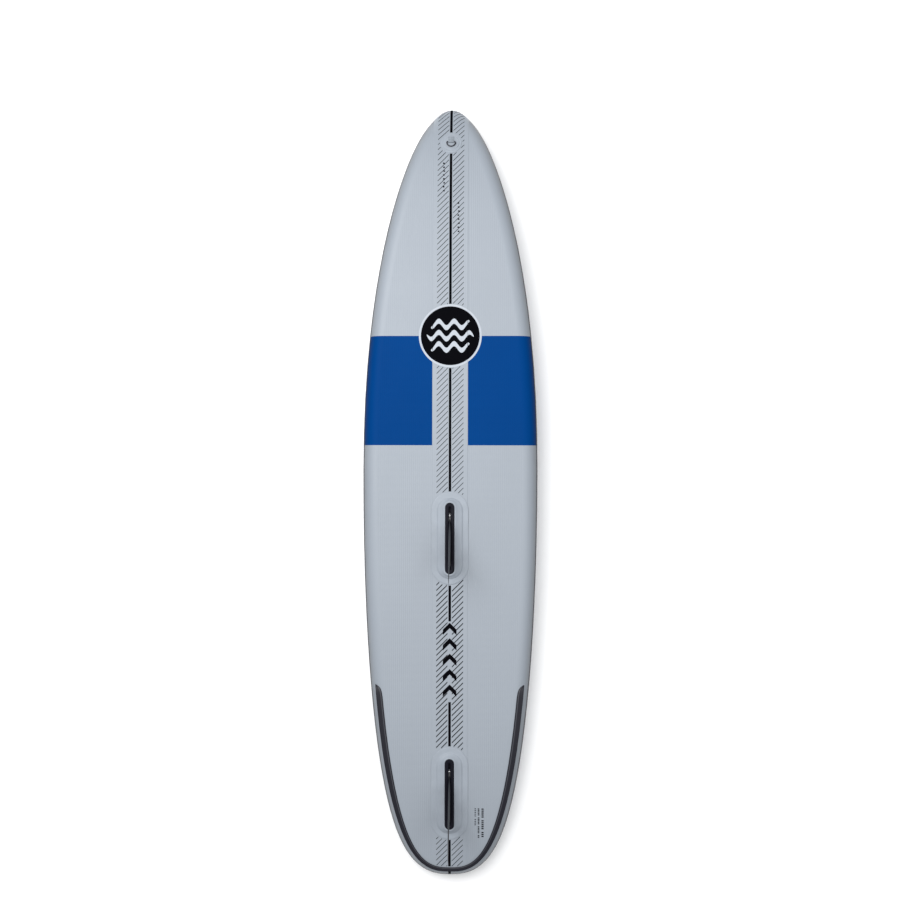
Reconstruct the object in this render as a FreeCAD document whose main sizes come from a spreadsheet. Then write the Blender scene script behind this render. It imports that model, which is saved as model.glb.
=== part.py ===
import FreeCAD, Part
import math
import os
import Sketcher
from FreeCAD import Placement, Rotation, Vector

# Inflatable stand up paddleboard lying deck down, fins up, nose toward +Y.
# Everything is drawn in the board frame: X across, Y toward the nose, Z out of the
# bottom skin, with z = 0 on the mid-plane of the flat middle of the hull.
# One placement at the end rests the nose rail and the tail rail on z = 0.

SIZES = {
    # hull, measured along the mid-plane from the tail end to the nose end
    "board_length": 3353.0,
    "rail_radius": 63.5,
    "rail_wall": 1.0,
    "skin_thickness": 1.2,
    "band_thickness": 0.8,
    "band_start_angle": 70.0,
    "band_end_angle": 125.0,
    "core_fabric": 1.0,
    "yarn_pitch": 150.0,
    "yarn_thickness": 1.0,
    # plan outline of the flat panel: two superellipse halves meeting at the widest station
    "panel_half_width": 309.6,
    "widest_station": 1738.0,
    "nose_length_power": 2.162,
    "nose_width_power": 1.387,
    "tail_length_power": 2.068,
    "tail_width_power": 2.866,
    # rocker: arcs that bend the nose and the tail toward the deck
    "nose_entry_length": 900.0,
    "nose_entry_radius": 12000.0,
    "nose_bend_length": 400.0,
    "nose_bend_radius": 3000.0,
    "nose_kick_length": 300.0,
    "nose_kick_radius": 700.0,
    "tail_kick_length": 720.0,
    "tail_kick_radius": 8000.0,
    # centre strip and deck pad
    "strip_width": 152.0,
    "strip_thickness": 1.0,
    "pad_thickness": 4.0,
    "pad_start": 510.0,
    "pad_end": 2330.0,
    "pad_margin": 34.0,
    "pad_corner": 60.0,
    # tail release edge on the bottom of the rail
    "release_start_angle": 32.0,
    "release_inner": 14.0,
    "release_outer": 41.5,
    "release_outer_tail": 32.0,
    "release_narrow_angle": 40.0,
    "release_proud": 0.8,
    "release_gap": 0.6,
    # fin boxes and their patches
    "mid_box_station": 1453.0,
    "rear_box_station": 370.0,
    "box_length": 301.0,
    "box_width": 38.0,
    "box_height": 20.0,
    "slot_length": 266.0,
    "slot_width": 8.2,
    "slot_floor": 3.0,
    "groove_width": 14.4,
    "groove_length": 276.0,
    "groove_floor": 10.0,
    "groove_height": 3.6,
    "patch_length": 394.0,
    "patch_width": 157.0,
    "patch_flange": 2.2,
    "ramp_length": 340.0,
    "ramp_width": 105.0,
    "ramp_top_length": 314.0,
    "ramp_top_width": 48.0,
    "ramp_height": 17.0,
    # fins
    "fin_thickness": 9.0,
    "blade_chord": 184.0,
    "blade_front": 88.0,
    "tab_length": 226.0,
    "tab_width": 7.9,
    "tab_floor": 3.6,
    "ear_length": 20.0,
    "ear_bottom": 13.8,
    "ear_thickness": 3.0,
    "mid_fin_height": 190.0,
    "mid_fin_sweep": 265.0,
    "mid_fin_offset": -4.0,
    "rear_fin_height": 230.0,
    "rear_fin_sweep": 305.0,
    "rear_fin_offset": -4.0,
    "pin_radius": 1.6,
    "pin_length": 13.8,
    "pin_setback": 101.0,
    "screw_radius": 2.0,
    "screw_length": 10.5,
    "screw_head_radius": 3.8,
    "screw_head_height": 2.4,
    "screw_setforward": 102.0,
    "screw_clearance": 0.06,
    "screw_seat_gap": 0.05,
    "drive_length": 5.0,
    "drive_width": 1.0,
    "drive_depth": 1.1,
    "nut_width": 13.6,
    "nut_length": 12.0,
    "nut_height": 3.2,
    # D-rings, their webbing loops and round patches
    "tow_station": 3147.5,
    "leash_station": 446.0,
    "disc_radius": 45.0,
    "disc_flange": 2.4,
    "boss_radius": 35.0,
    "boss_height": 4.6,
    "ring_wire_radius": 2.5,
    "ring_half_width": 18.5,
    "ring_corner": 5.0,
    "webbing_width": 25.0,
    "webbing_thickness": 1.6,
    "loop_clearance": 0.08,
    "webbing_tail": 26.0,
    "ring_forward": 2.0,
    # inflation valve on the deck
    "valve_station": 255.0,
    "valve_side": -92.0,
    "valve_flange_radius": 29.0,
    "valve_flange_height": 3.0,
    "valve_tube_radius": 20.0,
    "valve_tube_length": 30.0,
    "valve_bore_radius": 16.0,
    "valve_seal_height": 1.2,
    "valve_nut_radius": 27.0,
    "valve_nut_height": 7.0,
    "valve_hub_depth": 20.0,
    "valve_hub_height": 6.0,
    "valve_stem_radius": 3.0,
    "valve_button_radius": 7.0,
    "valve_button_height": 2.5,
    "valve_poppet_radius": 13.0,
    "valve_cap_radius": 22.0,
    "valve_cap_height": 4.0,
    "valve_travel": 4.0,
    "valve_arm_width": 3.0,
    "valve_arm_height": 4.0,
    "valve_disc_thickness": 1.5,
    "valve_spring_radius": 5.4,
    "valve_spring_bore": 4.0,
    "valve_grip_length": 28.0,
    "valve_grip_width": 5.0,
    "valve_grip_height": 3.0,
    # carry handle at the balance point
    "handle_station": 1640.0,
    "handle_span": 250.0,
    "handle_rise": 38.0,
    "handle_axis_height": 6.5,
    "handle_patch_gap": 0.7,
    "handle_width": 36.0,
    "handle_end_width": 12.0,
    "handle_strap": 2.0,
    "handle_barrel": 4.0,
    "handle_barrel_length": 24.0,
    "handle_patch_length": 84.0,
    "handle_patch_width": 62.0,
    "handle_patch_height": 12.5,
    "grip_length": 118.0,
    "grip_width": 46.0,
    "grip_height": 12.0,
    # mast foot plate on the deck
    "mast_station": 1985.0,
    "mast_plate_radius": 48.0,
    "mast_plate_height": 6.0,
    "mast_boss_radius": 24.0,
    "mast_boss_height": 22.0,
    "mast_plate_floor": 2.0,
    "insert_radius": 9.0,
    "insert_height": 20.0,
    "thread_radius": 4.0,
    "thread_depth": 18.0,
    "gap": 0.2,
}

document = FreeCAD.newDocument("paddleboard")
sheet = document.addObject("Spreadsheet::Sheet", "Sizes")
for row, (alias, value) in enumerate(SIZES.items(), start=1):
    sheet.set("A%d" % row, alias)
    sheet.set("B%d" % row, str(value))
    sheet.setAlias("B%d" % row, alias)
document.recompute()


def size(alias):
    """The value that the sheet holds for an alias."""
    return float(sheet.get(alias))


PARTS = []
GAP = size("gap")
RAIL = size("rail_radius")
LENGTH = size("board_length")
NOSE_ARCS = [(size("nose_%s_length" % n), size("nose_%s_radius" % n))
             for n in ("entry", "bend", "kick")]
TAIL_ARCS = [(size("tail_kick_length"), size("tail_kick_radius"))]
FLAT_END = LENGTH - sum(length for length, radius in NOSE_ARCS)
FLAT_START = size("tail_kick_length")


# ---------------------------------------------------------------- hull geometry

def rocker(station):
    """Y, Z and nose-down slope of the mid-plane at a distance along it."""
    if station > FLAT_END:
        start, arcs, direction, y = FLAT_END, NOSE_ARCS, 1.0, FLAT_END
    elif station < FLAT_START:
        start, arcs, direction, y = FLAT_START, TAIL_ARCS, -1.0, FLAT_START
    else:
        return station, 0.0, 0.0
    left = abs(station - start)
    slope = 0.0
    z = 0.0
    for index, (length, radius) in enumerate(arcs):
        last = index == len(arcs) - 1
        step = left if last else min(left, length)
        turned = slope + step / radius
        y += direction * radius * (math.sin(turned) - math.sin(slope))
        z -= radius * (math.cos(slope) - math.cos(turned))
        slope = turned
        left -= step
        if left <= 0:
            break
    return y, z, direction * slope


def surface(station, height, x=0.0):
    """A point at a height above the mid-plane, measured along its normal."""
    y, z, slope = rocker(station)
    return Vector(x, y + height * math.sin(slope), z + height * math.cos(slope))


def frame_at(station, height, x=0.0, deck=False):
    """Placement whose XY plane lies on the hull and whose Z points out of it."""
    slope = rocker(station)[2]
    tilt = Rotation(Vector(1, 0, 0), -math.degrees(slope))
    if deck:
        tilt = tilt * Rotation(Vector(0, 1, 0), 180)
    return Placement(surface(station, -height if deck else height, x), tilt)


def profile_edges(height, start, end):
    """Edges that run along the hull at one height, as exact lines and arcs."""
    breaks = [FLAT_START, FLAT_END]
    for length, radius in NOSE_ARCS[:-1]:
        breaks.append(breaks[-1] + length)
    stations = [start] + [b for b in breaks if start < b < end] + [end]
    edges = []
    for low, high in zip(stations, stations[1:]):
        first, middle, last = [surface(s, height) for s in (low, 0.5 * (low + high), high)]
        if FLAT_START <= low and high <= FLAT_END:
            edges.append(Part.makeLine(first, last))
        else:
            edges.append(Part.Arc(first, middle, last).toShape())
    return edges


def hull_layer(low, high, half_width, start, end):
    """A layer between two heights that follows the rocker, cut square at its ends."""
    edges = profile_edges(low, start, end) + profile_edges(high, start, end)
    for station in (start, end):
        edges.append(Part.makeLine(surface(station, low), surface(station, high)))
    face = Part.Face(Part.Wire(Part.__sortEdges__(edges)))
    layer = face.extrude(Vector(2 * half_width, 0, 0))
    layer.translate(Vector(-half_width, 0, 0))
    return layer


def panel_point(half, angle, side=0.0, tip=0.0):
    """Station and half width of the panel outline at one superellipse angle."""
    middle = size("widest_station")
    reach = (LENGTH - RAIL - middle) if half == "nose" else -(middle - RAIL)
    reach -= math.copysign(tip, reach)
    along = math.sin(math.radians(angle)) ** (2 / size(half + "_length_power"))
    across = max(0.0, math.cos(math.radians(angle))) ** (2 / size(half + "_width_power"))
    across = across if angle < 90 else 0.0
    return middle + reach * along, (size("panel_half_width") - side) * across


def panel_half_width(station):
    """Half width of the panel outline at a distance from the tail end."""
    middle = size("widest_station")
    half = "nose" if station > middle else "tail"
    reach = (LENGTH - RAIL - middle) if half == "nose" else (middle - RAIL)
    along = (abs(station - middle) / reach) ** size(half + "_length_power")
    return size("panel_half_width") * (1 - along) ** (1 / size(half + "_width_power"))


NOSE_ANGLES = (5, 10, 15, 20, 25, 30, 35, 40, 45, 50, 54, 58,
               62, 66, 70, 74, 77, 80, 82.5, 84.5, 86.5, 88)
TAIL_ANGLES = (89, 87.5, 85.5, 83, 80, 77, 74, 70, 66, 62, 58, 54,
               50, 45, 40, 35, 30, 25, 20, 15, 10, 5, 0)
PANEL_STATIONS = [("tail", a) for a in TAIL_ANGLES] + [("nose", a) for a in NOSE_ANGLES]
RAIL_STATIONS = [("tail", 90)] + PANEL_STATIONS + [("nose", 90)]


def layer_section(station, half_width, low, high):
    """Rectangle across the board between two heights."""
    corners = [surface(station, low, -half_width), surface(station, low, half_width),
               surface(station, high, half_width), surface(station, high, -half_width)]
    return Part.makePolygon(corners + corners[:1])


def layer_loft(outline, low, high):
    """A layer between two heights through pairs of station and half width."""
    sections = [layer_section(station, half_width, low, high) for station, half_width in outline]
    return Part.makeLoft(sections, True, False)


def panel_layer(low, high, side, tip):
    """A layer that fills the panel outline, drawn in by a margin."""
    outline = [panel_point(half, angle, side, tip) for half, angle in PANEL_STATIONS]
    return layer_loft(outline, low, high)


def rail_frame(half, angle, side):
    """Centre of the rail circle, its outward direction and its normal."""
    station, x = panel_point(half, angle)
    slope = rocker(station)[2]
    normal = Vector(0, math.sin(slope), math.cos(slope))
    along = Vector(0, math.cos(slope), -math.sin(slope))
    if angle == 90:
        outward = along * (1.0 if half == "nose" else -1.0)
    elif angle == 0:
        outward = Vector(side, 0, 0)
    else:
        before = panel_point(half, angle - 0.01)
        after = panel_point(half, angle + 0.01)
        run, rise = after[0] - before[0], after[1] - before[1]
        sign = 1.0 if half == "nose" else -1.0
        outward = Vector(side * run * sign, 0, 0) + along * (-rise * sign)
        outward.normalize()
    return surface(station, 0.0, side * x), outward, normal


def rail_point(frame, radius, angle):
    """A point on the rail circle; angle 0 is the bottom skin, 180 the deck skin."""
    centre, outward, normal = frame
    turn = math.radians(angle)
    return centre + outward * (radius * math.sin(turn)) + normal * (radius * math.cos(turn))


def rail_arc_section(frame, inner, outer, start, end):
    """Closed section of a thin shell that follows the rail circle."""
    middle = 0.5 * (start + end)
    out = [rail_point(frame, outer, a) for a in (start, middle, end)]
    back = [rail_point(frame, inner, a) for a in (end, middle, start)]
    edges = [Part.Arc(*out).toShape(), Part.makeLine(out[2], back[0]), Part.Arc(*back).toShape(),
             Part.makeLine(back[2], out[0])]
    return Part.Wire(edges)


def rail_shell(inner, outer, start, end, side):
    """A shell along one rail from the tail centre to the nose centre."""
    sections = [rail_arc_section(rail_frame(half, angle, side), inner, outer, start, end)
                for half, angle in RAIL_STATIONS]
    return Part.makeLoft(sections, True, False)


def add_feature(name, shape):
    """Keep a shape drawn in the board frame as a part."""
    feature = document.addObject("Part::Feature", name)
    feature.Label = name
    feature.Shape = shape
    PARTS.append((feature, Placement(feature.Placement)))
    return feature


# ---------------------------------------------------------------- hull

SKIN_BASE = RAIL - size("skin_thickness")
STRIP_BASE = RAIL + GAP
STRIP_TOP = STRIP_BASE + size("strip_thickness")
MARGIN = 0.5
CORE_MARGIN = (5.0, 8.0)
ROWS_PER_BLOCK = 3
PANEL_SPAN = 400.0
TOOL_DEPTH = 60.0

valve_frame = frame_at(size("valve_station"), RAIL, size("valve_side"), deck=True)


def dropstitch_core():
    """Two fabric layers held apart by rows of yarn, drawn as cross walls, in blocks of a few rows."""
    outer = SKIN_BASE - GAP
    inner = outer - size("core_fabric")
    pitch, wall = size("yarn_pitch"), size("yarn_thickness")
    core = panel_layer(-outer, outer, *CORE_MARGIN)
    cuts = []
    for row in range(int(LENGTH / pitch) + 1):
        start = RAIL + (row - 1) * pitch
        cuts.append(hull_layer(-inner, inner, PANEL_SPAN, start + 0.5 * wall, start + pitch - 0.5 * wall))
        if row % ROWS_PER_BLOCK == 0:
            cuts.append(hull_layer(-RAIL, RAIL, PANEL_SPAN, start - 0.5 * GAP, start + 0.5 * GAP))
    pocket = Part.makeCylinder(size("valve_nut_radius") + 3, TOOL_DEPTH, Vector(0, 0, 10 - TOOL_DEPTH))
    pocket.Placement = valve_frame
    return core.cut(cuts).cut(pocket)


add_feature("dropstitch_core", dropstitch_core())

add_feature("bottom_skin", panel_layer(SKIN_BASE, RAIL, MARGIN, MARGIN))
valve_hole = Part.makeCylinder(size("valve_tube_radius") + GAP, TOOL_DEPTH, Vector(0, 0, -0.5 * TOOL_DEPTH))
valve_hole.Placement = valve_frame
add_feature("deck_skin", panel_layer(-RAIL, -SKIN_BASE, MARGIN, MARGIN).cut(valve_hole))

wall_inner = RAIL - size("rail_wall")
band_inner = RAIL + GAP
band_outer = band_inner + size("band_thickness")
for label, side in (("left", -1.0), ("right", 1.0)):
    add_feature("rail_wall_" + label, rail_shell(wall_inner, RAIL, 0.0, 180.0, side))
    band = rail_shell(band_inner, band_outer, size("band_start_angle"), size("band_end_angle"), side)
    add_feature("rail_band_" + label, band)

strip_half = 0.5 * size("strip_width")
STRIP_MARGIN = 3.0
strip_points = [panel_point(half, angle, STRIP_MARGIN, STRIP_MARGIN) for half, angle in PANEL_STATIONS]
strip_outline = [(station, min(strip_half, half_width)) for station, half_width in strip_points]
add_feature("stringer_band", layer_loft(strip_outline, STRIP_BASE, STRIP_TOP))


# tail release edge: a wedge on the bottom of the rail that gives the tail a sharp corner

FADED_HEIGHT = 3.0


def release_reach(angle):
    """Distance from the rail centre to the sharp corner, shorter round the end of the tail."""
    start = size("release_narrow_angle")
    part = max(0.0, (angle - start) / (90.0 - start))
    ease = part * part * (3 - 2 * part)
    return size("release_outer") + (size("release_outer_tail") - size("release_outer")) * ease


def release_section(half, angle, side, faded):
    """Wedge section at one rail station; a faded one is the low, narrow start of the edge."""
    frame = rail_frame(half, angle, side)
    centre, outward, normal = frame
    seat = RAIL + size("release_gap")
    inner, outer = size("release_inner"), release_reach(angle)
    toe, heel = [math.degrees(math.asin(d / seat)) for d in (inner, outer)]
    top = seat + size("release_proud")
    if faded:
        toe = 0.5 * (toe + heel)
        top = seat * math.cos(math.radians(heel)) + FADED_HEIGHT
    arc = [rail_point(frame, seat, a) for a in (toe, 0.5 * (toe + heel), heel)]
    lip = rail_point(frame, seat + size("release_proud"), toe)
    crest = centre + outward * (outer - 1.0) + normal * top
    return Part.Wire([Part.Arc(*arc).toShape(), Part.makeLine(arc[2], crest),
                      Part.makeLine(crest, lip), Part.makeLine(lip, arc[0])])


release_start = size("release_start_angle")
release_angles = [a for a in TAIL_ANGLES if a > release_start] + [release_start]
release_path = [("tail", a, -1.0) for a in reversed(release_angles)] + [("tail", 90, 1.0)]
release_path += [("tail", a, 1.0) for a in release_angles]
release_ends = (release_path[0], release_path[-1])
release_sections = [release_section(*place, faded=place in release_ends) for place in release_path]
add_feature("tail_release_edge", Part.makeLoft(release_sections, True, False))

# deck pad, with openings for the handle and the mast foot
pad_base = RAIL + GAP
pad_top = pad_base + size("pad_thickness")
corner = size("pad_corner")
pad_start, pad_end = size("pad_start"), size("pad_end")
CORNER_STEPS = (0.0, 0.12, 0.3, 0.6, 1.0)
PAD_BAYS = 16
run = pad_end - pad_start - 2 * corner
pad_stations = [pad_start + corner * step for step in CORNER_STEPS]
pad_stations += [pad_start + corner + run * i / PAD_BAYS for i in range(1, PAD_BAYS)]
pad_stations += [pad_end - corner * step for step in reversed(CORNER_STEPS)]


def pad_half_width(station):
    """Half width of the deck pad, with its corners rounded."""
    inside = min(station - pad_start, pad_end - station, corner) / corner
    return panel_half_width(station) - size("pad_margin") - corner * (1 - math.sqrt(1 - (1 - inside) ** 2))


pad = layer_loft([(s, pad_half_width(s)) for s in pad_stations], -pad_top, -pad_base)
handle_frame = frame_at(size("handle_station"), RAIL, deck=True)
mast_frame = frame_at(size("mast_station"), RAIL, deck=True)


def stadium(length, width, height, base=0.0):
    """Upright prism with round ends, long along Y; only its outline when the height is 0."""
    radius = 0.5 * width
    reach = 0.5 * length - radius

    def point(x, y):
        return Vector(x, y, base)

    front = Part.Arc(point(radius, reach), point(0, reach + radius), point(-radius, reach)).toShape()
    back = Part.Arc(point(-radius, -reach), point(0, -reach - radius), point(radius, -reach)).toShape()
    outline = Part.Wire([front, Part.makeLine(point(-radius, reach), point(-radius, -reach)),
                         back, Part.makeLine(point(radius, -reach), point(radius, reach))])
    return outline if height == 0 else Part.Face(outline).extrude(Vector(0, 0, height))


handle_length = size("handle_span") + 2 * size("handle_patch_length")
handle_opening = stadium(handle_length + 56, size("handle_patch_width") + 20, TOOL_DEPTH, -0.5 * TOOL_DEPTH)
handle_opening.Placement = handle_frame
mast_opening = Part.makeCylinder(size("mast_plate_radius") + 6, TOOL_DEPTH, Vector(0, 0, -0.5 * TOOL_DEPTH))
mast_opening.Placement = mast_frame
add_feature("deck_pad", pad.cut(handle_opening).cut(mast_opening))


# ---------------------------------------------------------------- fin patches and boxes

def local_part(name, shape, placement, follow=None):
    """Keep a shape drawn in a local frame, trimmed by a hull layer when one is given."""
    shape.Placement = placement
    if follow is not None:
        shape = shape.common(follow)
    if shape.ShapeType == "Compound" and len(shape.Solids) == 1:
        shape = shape.Solids[0]
    return add_feature(name, shape)


def fin_patch(station):
    """Moulded patch: a flange that follows the hull and a ramp up to the box rim."""
    base = STRIP_TOP + GAP
    length = size("patch_length")
    reach = 0.5 * length + 10
    layer = hull_layer(base, base + size("patch_flange"), 200, station - reach, station + reach)
    column = hull_layer(base, base + 80, 200, station - reach, station + reach)
    frame = frame_at(station, base)
    flange = stadium(length, size("patch_width"), 60, -30)
    flange.Placement = frame
    ramp_low = stadium(size("ramp_length"), size("ramp_width"), 0, -4)
    ramp_high = stadium(size("ramp_top_length"), size("ramp_top_width"), 0, size("ramp_height"))
    ramp = Part.makeLoft([ramp_low, ramp_high], True, True)
    ramp.Placement = frame
    pocket = stadium(size("box_length") + 2 * GAP, size("box_width") + 2 * GAP, 80, -40)
    pocket.Placement = frame
    return flange.common(layer).fuse(ramp.common(column)).cut(pocket).removeSplitter()


def as_solid(shape):
    """The single solid inside a compound."""
    return shape.Solids[0] if len(shape.Solids) == 1 else shape


for label in ("mid", "rear"):
    add_feature(label + "_fin_patch", as_solid(fin_patch(size(label + "_box_station"))))


# ---------------------------------------------------------------- sketch helpers

def bind(sketch, index, expression):
    """Drive one dimension of a sketch from the sheet."""
    sketch.setExpression("Constraints[%d]" % index, expression)


def new_sketch(body, name, plane, lift=None):
    """A sketch on one of the body's own origin planes, lifted by an expression."""
    sketch = body.newObject("Sketcher::SketchObject", name)
    plane_object = [o for o in body.Origin.OriginFeatures if o.Role == plane][0]
    sketch.AttachmentSupport = [(plane_object, "")]
    sketch.MapMode = "FlatFace"
    if lift:
        sketch.setExpression("AttachmentOffset.Base.z", lift)
    return sketch


def sketch_circle(sketch, radius):
    """A circle about the sketch origin."""
    circle = sketch.addGeometry(Part.Circle(Vector(0, 0, 0), Vector(0, 0, 1), 5.0), False)
    bind(sketch, sketch.addConstraint(Sketcher.Constraint("Radius", circle, 5.0)), radius)
    sketch.addConstraint(Sketcher.Constraint("Coincident", circle, 3, -1, 1))


def sketch_rectangle(sketch, width, length):
    """A rectangle centred on the sketch origin."""
    corners = [Vector(-5, -8, 0), Vector(5, -8, 0), Vector(5, 8, 0), Vector(-5, 8, 0)]
    lines = []
    for start, end in zip(corners, corners[1:] + corners[:1]):
        lines.append(sketch.addGeometry(Part.LineSegment(start, end), False))
    for first, second in zip(lines, lines[1:] + lines[:1]):
        sketch.addConstraint(Sketcher.Constraint("Coincident", first, 2, second, 1))
    for line, kind in zip(lines, ("Horizontal", "Vertical", "Horizontal", "Vertical")):
        sketch.addConstraint(Sketcher.Constraint(kind, line))
    sketch.addConstraint(Sketcher.Constraint("Symmetric", lines[0], 1, lines[1], 2, -1, 1))
    across = sketch.addConstraint(Sketcher.Constraint("DistanceX", lines[0], 1, lines[0], 2, 10.0))
    bind(sketch, across, width)
    along = sketch.addConstraint(Sketcher.Constraint("DistanceY", lines[1], 1, lines[1], 2, 16.0))
    bind(sketch, along, length)


def sketch_stadium(sketch, width, length):
    """A slot outline with round ends, long along the sketch's Y axis."""
    radius, reach = 5.0, 10.0
    right_line = Part.LineSegment(Vector(radius, -reach, 0), Vector(radius, reach, 0))
    top_arc = Part.ArcOfCircle(Part.Circle(Vector(0, reach, 0), Vector(0, 0, 1), radius), 0, math.pi)
    left_line = Part.LineSegment(Vector(-radius, reach, 0), Vector(-radius, -reach, 0))
    low_circle = Part.Circle(Vector(0, -reach, 0), Vector(0, 0, 1), radius)
    low_arc = Part.ArcOfCircle(low_circle, math.pi, 2 * math.pi)
    loop = [sketch.addGeometry(edge, False) for edge in (right_line, top_arc, left_line, low_arc)]
    for first, second in zip(loop, loop[1:] + loop[:1]):
        sketch.addConstraint(Sketcher.Constraint("Tangent", first, 2, second, 1))
    top, low = loop[1], loop[3]
    sketch.addConstraint(Sketcher.Constraint("Equal", top, low))
    sketch.addConstraint(Sketcher.Constraint("Symmetric", top, 3, low, 3, -1, 1))
    sketch.addConstraint(Sketcher.Constraint("PointOnObject", top, 3, -2))
    bind(sketch, sketch.addConstraint(Sketcher.Constraint("Radius", top, radius)), "%s / 2" % width)
    index = sketch.addConstraint(Sketcher.Constraint("DistanceY", low, 3, top, 3, 2 * reach))
    bind(sketch, index, "%s - %s" % (length, width))


def pad_feature(body, sketch, name, length):
    """Extrude a sketch along its normal by an expression."""
    pad_object = body.newObject("PartDesign::Pad", name)
    pad_object.Profile = sketch
    pad_object.setExpression("Length", length)
    return pad_object


def pocket_feature(body, sketch, name, length):
    """Cut a sketch upward from its plane by an expression."""
    pocket = body.newObject("PartDesign::Pocket", name)
    pocket.Profile = sketch
    pocket.Reversed = True
    pocket.setExpression("Length", length)
    return pocket


def new_body(name):
    """An empty body with its label."""
    body = document.addObject("PartDesign::Body", name)
    body.Label = name
    return body


def keep_body(body, placement):
    """Keep a body drawn in a local frame as a part."""
    PARTS.append((body, placement))


def fin_box(label):
    """Fin box: a long slot with a T-groove for the pin and the plate nut."""
    body = new_body(label + "_fin_box")
    outline = new_sketch(body, label + "_box_outline", "XY_Plane")
    sketch_stadium(outline, "Sizes.box_width", "Sizes.box_length")
    pad_feature(body, outline, label + "_box_block", "Sizes.box_height")
    slot = new_sketch(body, label + "_box_slot_outline", "XY_Plane", "Sizes.slot_floor")
    sketch_stadium(slot, "Sizes.slot_width", "Sizes.slot_length")
    pocket_feature(body, slot, label + "_box_slot", "Sizes.box_height")
    groove = new_sketch(body, label + "_box_groove_outline", "XY_Plane", "Sizes.groove_floor")
    sketch_stadium(groove, "Sizes.groove_width", "Sizes.groove_length")
    pocket_feature(body, groove, label + "_box_groove", "Sizes.groove_height")
    keep_body(body, BOX_FRAMES[label])


def shifted(frame, x, y, z):
    """A frame moved along its own axes."""
    return frame * Placement(Vector(x, y, z), Rotation())


BOX_BASE = STRIP_TOP + GAP
BOX_FRAMES = {}
FIN_FRAMES = {}
for label in ("mid", "rear"):
    BOX_FRAMES[label] = frame_at(size(label + "_box_station"), BOX_BASE)
    FIN_FRAMES[label] = shifted(BOX_FRAMES[label], 0, size(label + "_fin_offset"), 0)
    fin_box(label)


# ---------------------------------------------------------------- fins and their fasteners

# each section's height, sweep back, chord and thickness, as parts of the blade's own
BLADE_STATIONS = ((0.0, 0.0, 1.0, 1.0), (0.25, 0.16, 0.88, 0.92), (0.5, 0.35, 0.72, 0.78),
                  (0.75, 0.575, 0.52, 0.58), (0.92, 0.785, 0.31, 0.4), (1.0, 0.917, 0.13, 0.26))
FOIL = ((1.0, 0.12), (0.7, 0.56), (0.35, 1.0), (0.1, 0.72), (0.0, 0.0))


def foil_section(front, chord, thickness, height):
    """Symmetric foil section with a blunt trailing edge, nose toward +Y."""
    half = 0.5 * thickness
    right = [Vector(half * t, front - chord * c, height) for c, t in FOIL]
    left = [Vector(-p.x, p.y, p.z) for p in reversed(right[:-1])]
    curve = Part.BSplineCurve()
    curve.interpolate(right + left)
    return Part.Wire([curve.toShape(), Part.makeLine(left[-1], right[0])])


def fin(label):
    """Raked blade on a base tab with a screw ear in front and a pin hole behind."""
    height, sweep = size(label + "_fin_height"), size(label + "_fin_sweep")
    base = size("box_height")
    sections = []
    for up, back, chord, thick in BLADE_STATIONS:
        front = size("blade_front") - back * sweep
        sections.append(foil_section(front, chord * size("blade_chord"), thick * size("fin_thickness"),
                                     base + 0.5 + up * height))
    blade = Part.makeLoft(sections, True, False)
    half_tab, width = 0.5 * size("tab_length"), size("tab_width")
    floor, ear = size("tab_floor"), size("ear_length")
    tab = Part.makeBox(width, 2 * half_tab - ear, base + 1.0 - floor, Vector(-width / 2, -half_tab, floor))
    ear_start = Vector(-width / 2, half_tab - ear - 2, size("ear_bottom"))
    tongue = Part.makeBox(width, ear + 2, size("ear_thickness"), ear_start)
    screw_at = Vector(0, size("screw_setforward"), size("ear_bottom") - 5)
    screw_hole = Part.makeCylinder(size("screw_radius") + size("screw_clearance"), 2 * base, screw_at)
    pin_at = Vector(-width, -size("pin_setback"), pin_height())
    pin_hole = Part.makeCylinder(size("pin_radius") + 0.05, 2 * width, pin_at, Vector(1, 0, 0))
    shape = blade.fuse([tab, tongue]).cut(screw_hole).cut(pin_hole).removeSplitter()
    local_part(label + "_fin", as_solid(shape), FIN_FRAMES[label])


def pin_height():
    """Height of the cross pin above the box base."""
    return size("groove_floor") + 0.5 * size("groove_height")


def bound_cylinder(name, radius, height):
    """A cylinder primitive driven by the sheet."""
    cylinder = document.addObject("Part::Cylinder", name)
    cylinder.setExpression("Radius", radius)
    cylinder.setExpression("Height", height)
    return cylinder


def bound_cut(name, base, tool):
    """A boolean cut of two document objects."""
    cut = document.addObject("Part::Cut", name)
    cut.Base = base
    cut.Tool = tool
    return cut


def bound_fuse(name, shapes):
    """A boolean union of document objects."""
    fuse = document.addObject("Part::MultiFuse", name)
    fuse.Shapes = shapes
    return fuse


def keep_object(item, name, placement):
    """Keep a parametric object drawn in a local frame as a part."""
    item.Label = name
    PARTS.append((item, placement))


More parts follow.
